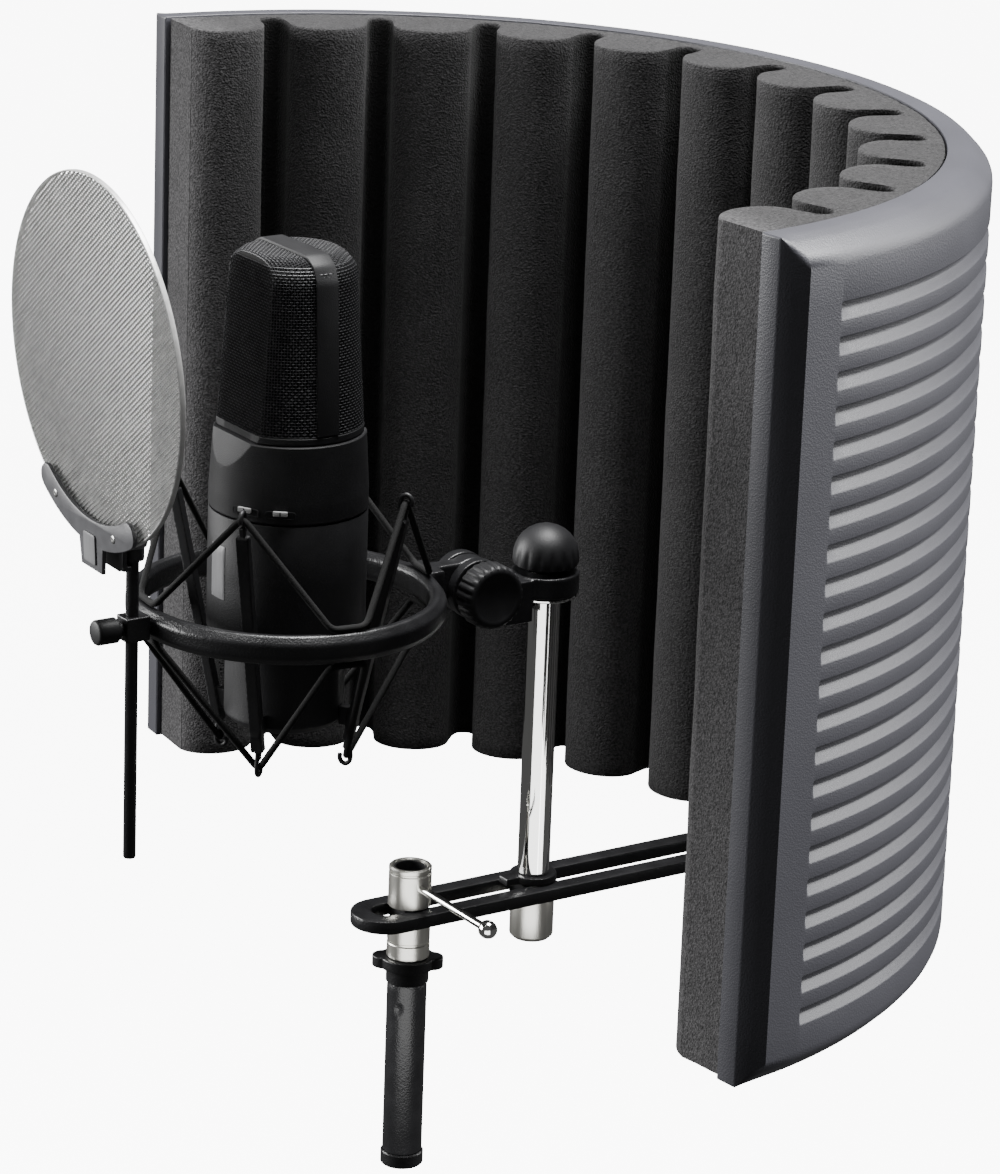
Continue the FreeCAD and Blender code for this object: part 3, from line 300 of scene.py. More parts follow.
def tube_faces(rings, sides, start=0, closed=False):
    """Faces between rings of points, each a closed loop with this many points."""
    faces = []
    for k in range(rings if closed else rings - 1):
        low, high = start + k * sides, start + (k + 1) % rings * sides
        faces += [(low + side, low + (side + 1) % sides, high + (side + 1) % sides, high + side)
            for side in range(sides)]
    return faces


def net_faces(lines, spots, start=0):
    """Faces between open lines of points, each with this many points."""
    corners = [start + line * spots + k for line in range(lines - 1) for k in range(spots - 1)]
    return [(a, a + 1, a + spots + 1, a + spots) for a in corners]


def tidy_normals(mesh, sharp=35.0):
    work = bmesh.new()
    work.from_mesh(mesh)
    bmesh.ops.recalc_face_normals(work, faces=work.faces)
    work.to_mesh(mesh)
    work.free()
    mesh.shade_smooth()
    mesh.set_sharp_from_angle(angle=math.radians(sharp))


def add(obj, body, *nodes):
    """The piece rides on a body, and the nodes it stands for are hidden."""
    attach(obj, body)
    if nodes:
        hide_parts(*nodes)


def joined(objects, name):
    """Several pieces as one object that keeps their materials."""
    first = objects[0]
    if len(objects) == 1:
        return first
    with bpy.context.temp_override(active_object=first, selected_editable_objects=objects):
        bpy.ops.object.join()
    first.name = name
    first.data.name = name
    return first


def baked(obj):
    """The object with its modifiers applied."""
    graph = bpy.context.evaluated_depsgraph_get()
    mesh = bpy.data.meshes.new_from_object(obj.evaluated_get(graph))
    obj.modifiers.clear()
    obj.data = mesh
    return obj


def fused(objects, name, voxel, passes=6, sharp=50.0):
    """Several overlapping solids as one casting with soft inner corners."""
    obj = joined(objects, name)
    remesh = obj.modifiers.new("remesh", "REMESH")
    remesh.mode = "VOXEL"
    remesh.voxel_size = voxel * MM
    soften = obj.modifiers.new("soften", "SMOOTH")
    soften.factor = 0.5
    soften.iterations = passes
    baked(obj)
    tidy_normals(obj.data, sharp)
    return obj


def eased(corners, radius, closed=False, steps=3, wide=(), wide_radius=0.0):
    """The outline or route with its corners replaced by short curves, the wide ones by longer ones."""
    count = len(corners)
    result = []
    for k, corner in enumerate(corners):
        here = Vector(corner)
        if not closed and k in (0, count - 1):
            result.append(tuple(here))
            continue
        before, after = Vector(corners[k - 1]), Vector(corners[(k + 1) % count])
        wanted = wide_radius if k in wide else radius
        reach = min(wanted, 0.45 * (here - before).length, 0.45 * (after - here).length)
        start = here + (before - here).normalized() * reach
        end = here + (after - here).normalized() * reach
        for step in range(steps + 1):
            t = step / steps
            result.append(tuple(start * (1 - t) ** 2 + here * 2 * t * (1 - t) + end * t * t))
    return result


def upright(centre, direction=Z_AXIS):
    """Matrix that stands a Z-up shape at a place, along a direction."""
    turn = Z_AXIS.rotation_difference(Vector(direction).normalized())
    return Matrix.Translation(Vector(centre)) @ turn.to_matrix().to_4x4()


def lathe(name, profile, finish, matrix=None, steps=96, ripple=None, ring=False, sharp=35.0):
    """A turned piece. The profile lists (radius, height), from axis to axis, or round a ring's
    section. ripple(angle, radius, height) gives the radius at that angle."""
    matrix = matrix or Matrix.Identity(4)
    points, rows, faces = [], [], []
    for radius, height in profile:
        if radius < 1e-4:
            points.append(matrix @ Vector((0, 0, height)))
            rows.append([len(points) - 1] * steps)
            continue
        row = []
        for k in range(steps):
            angle = 2 * math.pi * k / steps
            reach = ripple(angle, radius, height) if ripple else radius
            points.append(matrix @ Vector((reach * math.cos(angle), reach * math.sin(angle), height)))
            row.append(len(points) - 1)
        rows.append(row)
    pairs = list(zip(rows, rows[1:]))
    if ring:
        pairs.append((rows[-1], rows[0]))
    for low, high in pairs:
        for k in range(steps):
            corners = []
            for index in (low[k], low[(k + 1) % steps], high[(k + 1) % steps], high[k]):
                if index not in corners:
                    corners.append(index)
            if len(corners) > 2:
                faces.append(corners)
    return mesh_piece(name, points, faces, finish, sharp)


def sweep(name, path, radius, finish, sides=12, closed=False, ripple=None):
    """A round tube along a path. ripple(angle, distance) scales the radius."""
    path = [Vector(p) for p in path]
    count = len(path)
    points = []
    normal, distance = None, 0.0
    for k, here in enumerate(path):
        after = path[(k + 1) % count] if closed or k < count - 1 else here
        before = path[k - 1] if closed or k > 0 else here
        along = (after - before).normalized()
        if normal is None:
            normal = along.orthogonal().normalized()
        normal = (normal - along * normal.dot(along)).normalized()
        across = along.cross(normal)
        if k:
            distance += (here - path[k - 1]).length
        for side in range(sides):
            angle = 2 * math.pi * side / sides
            reach = radius * (ripple(angle, distance) if ripple else 1.0)
            points.append(here + normal * reach * math.cos(angle) + across * reach * math.sin(angle))
    faces = tube_faces(count, sides, closed=closed)
    if not closed:
        faces.append(tuple(range(sides))[::-1])
        faces.append(tuple((count - 1) * sides + side for side in range(sides)))
    return mesh_piece(name, points, faces, finish, 60.0)


def block(name, size, centre, finish, edge=0.5, turn=None):
    """A box with rounded edges. turn is a rotation matrix."""
    work = bmesh.new()
    bmesh.ops.create_cube(work, size=1.0)
    bmesh.ops.scale(work, vec=Vector(size), verts=work.verts)
    bmesh.ops.bevel(work, geom=work.edges, offset=edge, segments=3, profile=0.5, affect="EDGES")
    if turn is not None:
        bmesh.ops.transform(work, matrix=turn.to_4x4(), verts=work.verts)
    bmesh.ops.translate(work, vec=Vector(centre), verts=work.verts)
    bmesh.ops.scale(work, vec=Vector((MM, MM, MM)), verts=work.verts)
    mesh = bpy.data.meshes.new(name)
    work.to_mesh(mesh)
    work.free()
    mesh.materials.append(FINISH[finish])
    tidy_normals(mesh)
    return placed(name, mesh)


def plate(name, outlines, thickness, finish, matrix=None, edge=0.3):
    """A flat plate with rounded edges: the first outline, with the others as holes, in its own XY plane."""
    curve = bpy.data.curves.new(name, "CURVE")
    curve.dimensions = "2D"
    curve.fill_mode = "BOTH"
    curve.extrude = thickness / 2 - edge
    curve.bevel_depth = edge
    curve.bevel_resolution = 1
    curve.offset = -edge
    for outline in outlines:
        spline = curve.splines.new("POLY")
        spline.points.add(len(outline) - 1)
        for point, corner in zip(spline.points, outline):
            point.co = (corner[0], corner[1], 0.0, 1.0)
        spline.use_cyclic_u = True
    holder = placed(name + "_curve", curve)
    graph = bpy.context.evaluated_depsgraph_get()
    mesh = bpy.data.meshes.new_from_object(holder.evaluated_get(graph))
    bpy.data.objects.remove(holder)
    mesh.transform(Matrix.Scale(MM, 4) @ (matrix or Matrix.Identity(4)))
    work = bmesh.new()
    work.from_mesh(mesh)
    bmesh.ops.remove_doubles(work, verts=work.verts, dist=1e-6)
    work.to_mesh(mesh)
    work.free()
    mesh.name = name
    mesh.materials.clear()
    mesh.materials.append(FINISH[finish])
    tidy_normals(mesh)
    return placed(name, mesh)


def circle(radius, count=48, centre=(0.0, 0.0)):
    return [(centre[0] + radius * math.cos(2 * math.pi * k / count), centre[1] + radius * math.sin(2
        * math.pi * k / count)) for k in range(count)]


def arc(radius, first, last, count, centre=(0.0, 0.0)):
    """Points of an arc between two angles, in degrees."""
    angles = [math.radians(first + (last - first) * k / (count - 1)) for k in range(count)]
    return [(centre[0] + radius * math.cos(a), centre[1] + radius * math.sin(a)) for a in angles]


def thread(name, radius, low, high, pitch, depth, finish, matrix, inside=False):
    """A helical ridge on a stud, or inside a bore."""
    turns = (high - low) / pitch
    steps = int(turns * 36)
    sign = -1 if inside else 1
    points = []
    for k in range(steps + 1):
        angle = 2 * math.pi * turns * k / steps
        height = low + (high - low) * k / steps
        for out, up in ((-0.25 * depth, -0.42 * pitch), (depth, 0.0), (-0.25 * depth, 0.42 * pitch)):
            reach = radius + sign * out
            points.append(matrix @ Vector((reach * math.cos(angle), reach * math.sin(angle), height + up)))
    faces = tube_faces(steps + 1, 3) + [(2, 1, 0), (3 * steps, 3 * steps + 1, 3 * steps + 2)]
    return mesh_piece(name, points, faces, finish, 20.0)


def span(node):
    """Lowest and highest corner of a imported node, in millimetres."""
    low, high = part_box(node)
    return low / MM, high / MM


def softened(node, finish, voxel=0.5, passes=5):
    """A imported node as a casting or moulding: the same place and size, with softly rounded edges."""
    obj = placed(node + "_part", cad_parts[node].data.copy())
    obj.data.materials.clear()
    obj.data.materials.append(FINISH[finish])
    return fused([obj], node + "_part", voxel, passes)


# ---------------------------------------------------------------- the shield
SHIELD_AXIS_Y, SHIELD_BASE = -18.5, 111.5
SHELL_HEIGHT, SHELL_RADIUS, LIP_RADIUS, SHELL_END = 300.0, 215.0, 198.3, 84.5


def on_shield(radius, degrees, height):
    """Place at a radius from the shield's axis, at an angle from its middle, above its lower edge."""
    angle = math.radians(degrees)
    return (radius * math.sin(angle), SHIELD_AXIS_Y + radius * math.cos(angle), SHIELD_BASE + height)


def shell_section(rib_share, end_share, hollow, inset=0.0):
    """Outline (radius, height) of the shell's wall: notched outside, bevelled rims, hollow inside."""
    bevel_start, notch_depth, first_rib, rib_pitch = 207.5, 2.4, 23.4, 11.94
    outer = SHELL_RADIUS - (SHELL_RADIUS - bevel_start) * end_share - inset
    rise = max(0.4, outer - bevel_start)
    corners = [(LIP_RADIUS + inset, inset), (bevel_start - inset, inset), (outer, rise + inset)]
    for rib in range(22):
        height = first_rib + rib_pitch * rib
        floor = outer - notch_depth * rib_share
        corners += [(outer, height - 3.6), (floor, height - 0.6), (floor, height + 2.1),
            (outer, height + 2.5)]
    corners += [(outer, SHELL_HEIGHT - rise - inset), (bevel_start - inset, SHELL_HEIGHT - inset),
        (LIP_RADIUS + inset, SHELL_HEIGHT - inset)]
    rims = (1, 2, len(corners) - 3, len(corners) - 2)
    wall, foot = (209.4, 205.75) if hollow else (LIP_RADIUS + inset, LIP_RADIUS + inset)
    corners += [(LIP_RADIUS + inset, 296.5), (foot, 296.5), (wall, 290.75), (wall, 9.25), (foot, 3.5),
        (LIP_RADIUS + inset, 3.5)]
    return eased(corners, 0.45, closed=True, steps=3, wide=rims, wide_radius=3.0)


def shell():
    """Ribbed half cylinder with plain ends, and the flat pad at the back that the arm lies on."""
    rib_end, pad_height, pad_width = 78.0, 116.0, 38.0
    half = [(SHELL_END, 0.0, 1.0, False, 0.5), (SHELL_END - 0.12, 0.0, 0.97, False, 0.0), (83.5, 0.0, 0.5,
        False, 0.0), (83.49, 0.0, 0.495, True, 0.0), (82.5, 0.0, 0.0, True, 0.0), (rib_end + 0.5, 0.0,
        0.0, True, 0.0), (rib_end + 0.3, 0.0, 0.0, True, 0.0), (rib_end + 0.22, 0.12, 0.0, True, 0.0),
        (rib_end + 0.08, 0.9, 0.0, True, 0.0)]
    columns = [(-side, *rest) for side, *rest in half]
    columns += [(rib_end * (2 * k / 104 - 1), 1.0, 0.0, True, 0.0) for k in range(105)]
    columns += half[::-1]
    points = []
    for degrees, ribs, end_share, hollow, inset in columns:
        section = shell_section(ribs, end_share, hollow, inset)
        points += [on_shield(radius, degrees, height) for radius, height in section]
        count = len(section)
    faces = tube_faces(len(columns), count)
    faces.append(tuple(range(count)))
    faces.append(tuple((len(columns) - 1) * count + k for k in range(count))[::-1])
    wall = mesh_piece("shell_wall", points, faces, "shell_plastic", 32.0)
    pad = block("shell_pad", (pad_width, 8, pad_height), (0, SHIELD_AXIS_Y + 215.2 - 4, SHIELD_BASE
        + 93.5), "shell_plastic", 0.8)
    add(joined([wall, pad], "shell"), "shield", "outer_shell")


def lobe_outline():
    """(angle, radius) round the front of the foam: thirteen rounded lobes with narrow slots between."""
    pitch, lobes, foam_end = 13.17, 13, 83.9
    half_width, tip, depth = 15.5, 166.8, 13.0
    half = [(21.9, 191.2), (18.6, 190.8), (16.6, 187.0)]
    half += [(half_width * math.cos(math.pi / 2 * k / 9), tip + depth * (1 - math.sin(math.pi / 2
        * k / 9))) for k in range(10)]
    one = half + [(-x, y) for x, y in half[-2::-1]]
    turned_points = []
    for lobe in range(lobes):
        middle = math.radians(pitch * (lobe - (lobes - 1) / 2))
        for x, y in one[::-1]:
            turned_points.append((x * math.cos(middle) + y * math.sin(middle), y * math.cos(middle) - x
                * math.sin(middle)))
    smooth = eased(turned_points, 2.0, steps=2)
    polar = [(math.degrees(math.atan2(x, y)), math.hypot(x, y)) for x, y in smooth]
    kept = [spot for spot in polar if abs(spot[0]) < foam_end]
    return [(-foam_end, kept[0][1])] + kept + [(foam_end, kept[-1][1])]


def foam():
    """Cut foam with upright lobes. The faces wander a little, as a hot wire leaves them."""
    outline, layers, back_steps, back = lobe_outline(), 60, 5, 197.5
    low, high, edge = 0.5, 299.5, 0.9
    heights = [low, low + 0.3, low + edge]
    heights += [low + edge + (high - low - 2 * edge) * k / layers for k in range(1, layers)]
    heights += [high - edge, high - 0.3, high]
    insets = [edge, 0.3, 0.0] + [0.0] * (layers - 1) + [0.0, 0.3, edge]

    def moved(place, reach):
        """The place, shifted in and out by a slow and a fine unevenness."""
        slow = noise.noise(Vector(place) * 0.035)
        fine = noise.noise(Vector(place) * 0.45 + Vector((7, 3, 1)))
        return reach + 0.45 * slow + 0.05 * fine

    points = []
    across = len(outline)
    for height, inset in zip(heights, insets):
        for degrees, radius in outline:
            reach = moved(on_shield(radius, degrees, height), radius) + inset
            points.append(on_shield(reach, degrees, height))
    rows = len(heights)
    faces = net_faces(rows, across)
    for row, height in ((0, low), (rows - 1, high)):
        start = len(points)
        first = row * across
        for step in range(1, back_steps + 1):
            share = step / back_steps
            for k, (degrees, radius) in enumerate(outline):
                front = (Vector(points[first + k]) - Vector((0, SHIELD_AXIS_Y, 0))).to_2d().length
                reach = front + (back - front) * share
                place = Vector(on_shield(reach, degrees, height))
                dip = 0.35 * noise.noise(place * 0.3) + 0.2 * noise.noise(place * 0.06)
                inward = -1 if row else 1
                points.append(on_shield(reach, degrees, height + inward * abs(dip)))
        for step in range(back_steps):
            for k in range(across - 1):
                inner = first + k if step == 0 else start + (step - 1) * across + k
                outer = start + step * across + k
                faces.append((inner, inner + 1, outer + 1, outer))
    low_back, high_back = rows * across + (back_steps - 1) * across, len(points) - across
    for k in range(across - 1):
        faces.append((low_back + k, low_back + k + 1, high_back + k + 1, high_back + k))
    # The two cut ends.
    for k in (0, across - 1):
        loop = [row * across + k for row in range(rows)]
        loop += [rows * across + back_steps * across + step * across + k for step in range(back_steps)]
        loop += [rows * across + step * across + k for step in range(back_steps)][::-1]
        faces.append(tuple(loop))
    obj = mesh_piece("foam", points, faces, "liner_foam", 62.0)
    add(obj, "shield", "foam_liner")


def felt_mat(name, inner, outer, first, last, low, high):
    """A curved felt mat with uneven faces, between two radii, two angles and two heights."""
    points = []
    columns, rows = max(4, round((last - first) / 1.3)), max(3, round((high - low) / 7))
    for radius, side in ((inner, 1), (outer, -1)):
        for column in range(columns + 1):
            degrees = first + (last - first) * column / columns
            for row in range(rows + 1):
                height = low + (high - low) * row / rows
                place = Vector(on_shield(radius, degrees, height))
                rough = 0.25 * abs(noise.noise(place * 0.25))
                points.append(on_shield(radius + side * rough, degrees, height))
    layer = (columns + 1) * (rows + 1)
    faces = net_faces(columns + 1, rows + 1) + net_faces(columns + 1, rows + 1, layer)
    edge = list(range(rows + 1))
    edge += [column * (rows + 1) + rows for column in range(1, columns + 1)]
    edge += [columns * (rows + 1) + row for row in range(rows - 1, -1, -1)]
    edge += [column * (rows + 1) for column in range(columns - 1, 0, -1)]
    for k, index in enumerate(edge):
        other = edge[(k + 1) % len(edge)]
        faces.append((index, other, other + layer, index + layer))
    return mesh_piece(name, points, faces, "felt")


def felt():
    """Two felt layers. The outer one leaves a window for the plate that the arm is bolted to."""
    end, window = 83.0, 6.6
    outer = [felt_mat("felt_part", 205.0, 209.1, *area) for area in ((-end, -window, 12.5, 287.5),
        (window, end, 12.5, 287.5), (-window, window, 12.5, 25.0), (-window, window, 152.0, 287.5))]
    add(joined(outer, "felt_outer"), "shield", "outer_felt")
    add(felt_mat("felt_inner", 198.9, 203.2, -end, end, 5.5, 294.5), "shield", "inner_felt")


# ---------------------------------------------------------------- arm and its knobs
def arm():
    """Slotted steel strip, bent up at the back of the shell, with rounded ends and bolt holes."""
    low, high = span("slotted_arm")
    width, thickness, inner_bend = high.x - low.x, 5.2, 2.0
    top = 106.4
    flat_end = high.y - thickness - inner_bend
    run = flat_end - low.y
    bend_run = math.pi / 2 * inner_bend
    length = run + bend_run + high.z - top - inner_bend
    slot_half, slot_start, slot_end = 5.5, -16.0 - low.y, 165.0 - low.y
    outline = arc(width / 2, 0, -180, 19, (0, width / 2)) + arc(8, 180, 90, 8, (8 - width / 2, length - 8))
    outline += arc(8, 90, 0, 8, (width / 2 - 8, length - 8))
    slot = arc(slot_half, 180, 360, 15, (0, slot_start + slot_half))
    slot += arc(slot_half, 0, 180, 15, (0, slot_end - slot_half))
    holes = [circle(3.3, 28, (0, length - high.z + height)) for height in (175, 235)]
    obj = plate("arm", [outline, slot] + holes, thickness, "black_steel", edge=0.7)
    work = bmesh.new()
    work.from_mesh(obj.data)
    for cut in [run + bend_run * k / 8 for k in range(9)] + [run * k / 12 for k in range(1, 12)]:
        geometry = list(work.verts) + list(work.edges) + list(work.faces)
        bmesh.ops.bisect_plane(work, geom=geometry, plane_co=(0, cut * MM, 0), plane_no=(0, 1, 0), dist=1e-7)
    for vert in work.verts:
        x, along, above = vert.co / MM
        depth = thickness / 2 - above
        if along <= run:
            y, z = low.y + along, top - depth
        elif along < run + bend_run:
            turn = (along - run) / inner_bend
            reach = inner_bend + depth
            y, z = flat_end + reach * math.sin(turn), top + inner_bend - reach * math.cos(turn)
        else:
            y, z = flat_end + inner_bend + depth, top + inner_bend + along - run - bend_run
        vert.co = Vector((x, y, z)) * MM
    work.to_mesh(obj.data)
    work.free()
    tidy_normals(obj.data, 40.0)
    add(obj, "shield", "slotted_arm")


def fluted(count, depth, from_radius):
    """Ripple for a knob's grip: round flutes, only outside a radius."""
    def reach(angle, radius, height):
        if radius < from_radius:
            return radius
        return radius - depth * (0.5 + 0.5 * math.cos(count * angle)) ** 2
    return reach


def knurled(count, depth, from_radius, low, high):
    """Ripple for a straight knurl between two heights."""
    def reach(angle, radius, height):
        if radius < from_radius or not low <= height <= high:
            return radius
        return radius - depth * abs(math.sin(count * angle / 2))
    return reach


def arm_knobs():
    for number, height, body in ((1, 175, "arm_knob_lower"), (2, 235, "arm_knob_upper")):
        matrix = upright((0, span("slotted_arm")[1].y, height), (0, 1, 0))
        profile = [(0, -11.6), (2.6, -11.6), (3, -11.2), (3, 0.3), (8.2, 0.3), (8.5, 0.6), (8.5, 1.6),
            (8.1, 2), (7.2, 2.4), (7, 4.2), (7.6, 4.9), (10.2, 5.4), (10.8, 5.9), (11, 6.8), (11, 11.4),
            (10.7, 12.4), (9.9, 13.2), (8.6, 13.7), (7.4, 13.4), (6.8, 12.9), (0, 12.7)]
        knob = lathe(f"arm_knob_{number}_grip", profile, "knob_plastic", matrix, 144,
            fluted(12, 1.1, 9.5))
        rod = thread(f"arm_knob_{number}_rod", 2.8, -11.4, 0, 1.0, 0.2, "plain_steel", matrix)
        add(joined([knob, rod], f"arm_knob_{number}_body"), body, f"arm_knob_{number}")


# ---------------------------------------------------------------- stand
def stand():
    """Steel tube with a threaded foot, a collar with two ears and the coupling that grips the arm."""
    foot = lathe("stand_foot", [(5.0, 0.4), (5.4, 0), (7.8, 0), (8.25, 0.5), (8.25, 5.0), (7.8, 5.5),
        (5.9, 5.5), (5.9, 20), (4.76, 20), (4.76, 0.8)], "black_steel", ring=True)
    wound = thread("stand_foot_thread", 4.9, 1.2, 15, 0.94, 0.28, "plain_steel", Matrix.Identity(4), True)
    add(joined([foot, wound], "stand_insert"), "stand_base", "thread_insert")

    def dented(angle, radius, height):
        """A small pressed dimple near the top of the tube, on the side towards the opening."""
        away = math.hypot((math.degrees(angle) - 305) / 22, (height - 66) / 3.2)
        return radius - (0.7 * (1 + math.cos(math.pi * min(1.0, away))) / 2 if radius > 7 else 0)

    outer = [(7.65, 6.2)] + [(7.65, 58 + k) for k in range(17)] + [(7.3, 75.5)]
    add(lathe("stand_tube_body", [(6.05, 5.6), (7.3, 5.6)] + outer + [(6.05, 75.5)], "black_steel",
        steps=120, ripple=dented, ring=True), "stand_base", "stand_tube")
    add(lathe("stand_collar", [(4.1, 75.6), (7.9, 75.6), (8.2, 75.9), (8.2, 81.1), (7.9, 81.4),
        (4.1, 81.4)], "black_steel", ring=True), "stand_base", "tube_collar")
    add(softened("flange_ring", "black_steel", 0.35, 6), "stand_base", "flange_ring")
    add(lathe("coupling_sleeve", [(4.1, 86), (7.8, 86), (8.2, 86.4), (8.2, 91.6), (7.9, 92), (7.9, 92.6),
        (8.2, 93), (8.2, 100.6), (7.8, 101), (4.1, 101)], "satin_nickel", ring=True), "stand_base",
        "coupling_lower")
    add(lathe("clamp_nut_body", [(4.06, 106.6), (7.7, 106.6), (8.2, 107.1), (8.2, 119.9), (7.9, 120.2),
        (7.9, 120.8), (8.2, 121.1), (8.2, 122.3), (7.7, 122.8), (6.7, 122.8), (6.3, 122.4), (6.3, 117.4),
        (4.06, 117.4)], "satin_nickel", ring=True), "clamp_nut", "clamp_nut")
    add(lathe("clamp_nut_lining", [(0, 117.5), (6.2, 117.5), (6.2, 122.0), (5.7, 122.0), (5.7, 118.1),
        (0, 118.1)], "bush_plastic"), "clamp_nut")
    add(lathe("tommy_handle", [(0, 7.6), (1.5, 7.6), (1.5, 50.4), (1.9, 50.9), (2.8, 51.5), (3.3, 52.4),
        (3.5, 53.6), (3.35, 54.9), (2.9, 56), (2.1, 56.9), (1, 57.3), (0, 57.3)], "chrome_bright",
        upright((0, 0, 115.6), (1, 0, 0)), 48), "clamp_nut", "tommy_bar")
    stud = lathe("coupling_stud_core", [(0, 60), (3.4, 60), (3.8, 60.6), (3.8, 112.8), (3.3, 113.4),
        (0, 113.4)], "plain_steel")
    wound = thread("coupling_stud_thread", 3.75, 61, 112.4, 1.25, 0.24, "plain_steel", Matrix.Identity(4))
    add(joined([stud, wound], "coupling_stud_body"), "stand_base", "coupling_stud")


# ---------------------------------------------------------------- post and tilt head
def post():
    """Chrome post in the arm's slot, its nut and washer, and the domed knob on top."""
    low, high = span("mic_post")
    axis = upright((0, (low.y + high.y) / 2, 0))
    add(lathe("post_rod", [(0, 85), (3.4, 85), (3.8, 85.5), (3.8, 109.8), (5.9, 109.8), (6.2, 110.1),
        (6.2, 231.7), (5.9, 232), (3.8, 232), (3.8, 243.6), (3.4, 244), (0, 244)], "chrome_bright", axis,
        128), "post", "mic_post")
    add(softened("post_slider", "black_steel", 0.35, 4), "post", "post_slider")
    add(lathe("post_nut_body", [(4.1, 83), (7.1, 83), (7.5, 83.4), (8.3, 84.2), (8.5, 84.8), (8.5, 99.6),
        (8.3, 100.2), (7.8, 101), (4.1, 101)], "satin_nickel", axis, 120, knurled(60, 0.22, 8.4, 86.5,
        97.5), ring=True), "post_nut", "post_nut")
    add(lathe("post_washer_body", [(6.25, 222), (12.1, 222), (12.5, 222.4), (12.5, 222.9), (12.1, 223.3),
        (6.25, 223.3)], "chrome_bright", axis, 120, ring=True), "post", "post_washer")
    add(lathe("dome_knob_body", [(4.06, 232.4), (6.8, 232.4), (7, 232.6), (7, 233.8), (11.6, 234.2),
        (12.2, 234.6), (12.6, 235.6), (12.6, 237.4), (12.4, 239.4), (11.8, 241.6), (10.8, 243.8),
        (9.4, 245.7), (7.6, 247.3), (5.4, 248.6), (2.9, 249.5), (0, 249.8), (0, 246), (4.06, 246)],
        "knob_plastic", axis, 144, fluted(16, 0.5, 12.3)), "dome_knob", "dome_knob")


def tilt_head():
    """Cast block on the post, its hinge bolt and nut, and the knob that locks the tilt."""
    add(softened("swivel_body", "black_steel", 0.42, 8), "swivel", "swivel_body")
    low, high = span("hinge_bolt")
    matrix = upright((0, (low.y + high.y) / 2, (low.z + high.z) / 2), (1, 0, 0))
    bolt = lathe("hinge_bolt_core", [(0, -13.8), (2.1, -13.8), (2.4, -13.4), (2.4, 17), (0, 17)],
        "plain_steel", matrix, 48)
    wound = thread("hinge_bolt_thread", 2.3, -13.4, -8.2, 0.8, 0.18, "plain_steel", matrix)
    add(joined([bolt, wound], "hinge_bolt_body"), "swivel", "hinge_bolt")
    add(plate("hinge_nut_body", [circle(4.9, 6), circle(2.5, 24)], 3.6, "plain_steel", matrix
        @ Matrix.Translation((0, 0, -10.2)), 0.35), "swivel", "hinge_nut")
    add(lathe("lock_knob_body", [(2.56, 8.4), (5.7, 8.4), (6, 8.7), (6, 9.8), (11.6, 10.6), (12.1, 10.9),
        (12.4, 11.5), (12.4, 17.9), (12.1, 18.9), (11.4, 19.7), (10.4, 20.2), (9, 20.0), (8.4, 19.6),
        (0, 19.4), (0, 17.3), (2.56, 17.3)], "knob_plastic", matrix, 192, fluted(24, 0.7, 12.0)),
        "lock_knob", "lock_knob")


# ---------------------------------------------------------------- shock mount
HOOP_AXIS_Y = -57.5


def on_mount(radius, degrees, height):
    """Place at a radius and angle round the microphone's axis."""
    angle = math.radians(degrees)
    return Vector((radius * math.cos(angle), HOOP_AXIS_Y + radius * math.sin(angle), height))


def hoop():
    add(softened("suspension_ring", "black_steel", 0.6, 5), "hoop", "suspension_ring")
    add(softened("rod_clamp", "black_steel", 0.3, 4), "hoop", "rod_clamp")


def strut_angle(number):
    """Angle of a strut round the microphone's axis, from the node's box."""
    low, high = span(f"cradle_strut_{number}")
    centre = (low + high) / 2
    return math.degrees(math.atan2(centre.y - HOOP_AXIS_Y, centre.x))


def cradle():
    """Cup under the microphone and four leaning struts, each with a hook for the cord at both ends."""
    add(softened("cradle_cup", "cradle_plastic", 0.5, 5), "microphone", "cradle_cup")
    for number in range(1, 5):
        turn = strut_angle(number)
        bar = softened(f"cradle_strut_{number}", "cradle_plastic", 0.35, 4)
        upper = [on_mount(radius, turn, height) for radius, height in ((43.9, 272.5), (43.2, 276.0),
            (42.9, 279.2), (43.4, 281.6), (45.0, 282.7), (46.7, 281.9), (47.3, 280.2), (47.0, 278.6))]
        lower = [on_mount(radius, turn, height) for radius, height in ((25.4, 187.0), (26.2, 183.6),
            (26.6, 180.2), (26.1, 177.9), (24.5, 176.8), (22.8, 177.6), (22.2, 179.2), (22.4, 180.6))]
        hooks = [sweep(f"cradle_hook_{number}_{label}", eased(route, 1.0, steps=3), 0.9, "cradle_plastic",
            12) for label, route in (("top", upper), ("low", lower))]
        add(joined([bar] + hooks, f"cradle_strut_{number}_body"), "microphone", f"cradle_strut_{number}")


def cord_loop(node, hook_radius, hook_height, hoop_height):
    """One braided elastic: from every hook two legs run to the hoop, and a short link joins them there."""
    hoop_radius, spread = 55.0, 38.0
    corners = []
    for number in range(1, 5):
        turn = strut_angle(number)
        corners += [on_mount(hoop_radius, turn - spread, hoop_height), on_mount(hook_radius, turn,
            hook_height), on_mount(hoop_radius, turn + spread, hoop_height)]
    hooks = corners[1::3]
    order = sorted(range(4), key=lambda k: math.atan2(hooks[k].y - HOOP_AXIS_Y, hooks[k].x))
    route = [corners[3 * k + step] for k in order for step in range(3)]
    rounded = eased(route, 3.0, closed=True, steps=5)
    fine = []
    for k, spot in enumerate(rounded):
        here, after = Vector(spot), Vector(rounded[(k + 1) % len(rounded)])
        pieces = max(1, round((after - here).length / 0.55))
        fine += [here.lerp(after, step / pieces) for step in range(pieces)]

    def braid(angle, distance):
        return 0.97 + 0.06 * math.sin(4 * angle + 2.4 * distance) * math.sin(4 * angle - 2.4 * distance)

    obj = sweep(node + "_cord", fine, 1.27, "elastic_cord", 16, True, braid)
    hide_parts(node)
    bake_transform(obj)


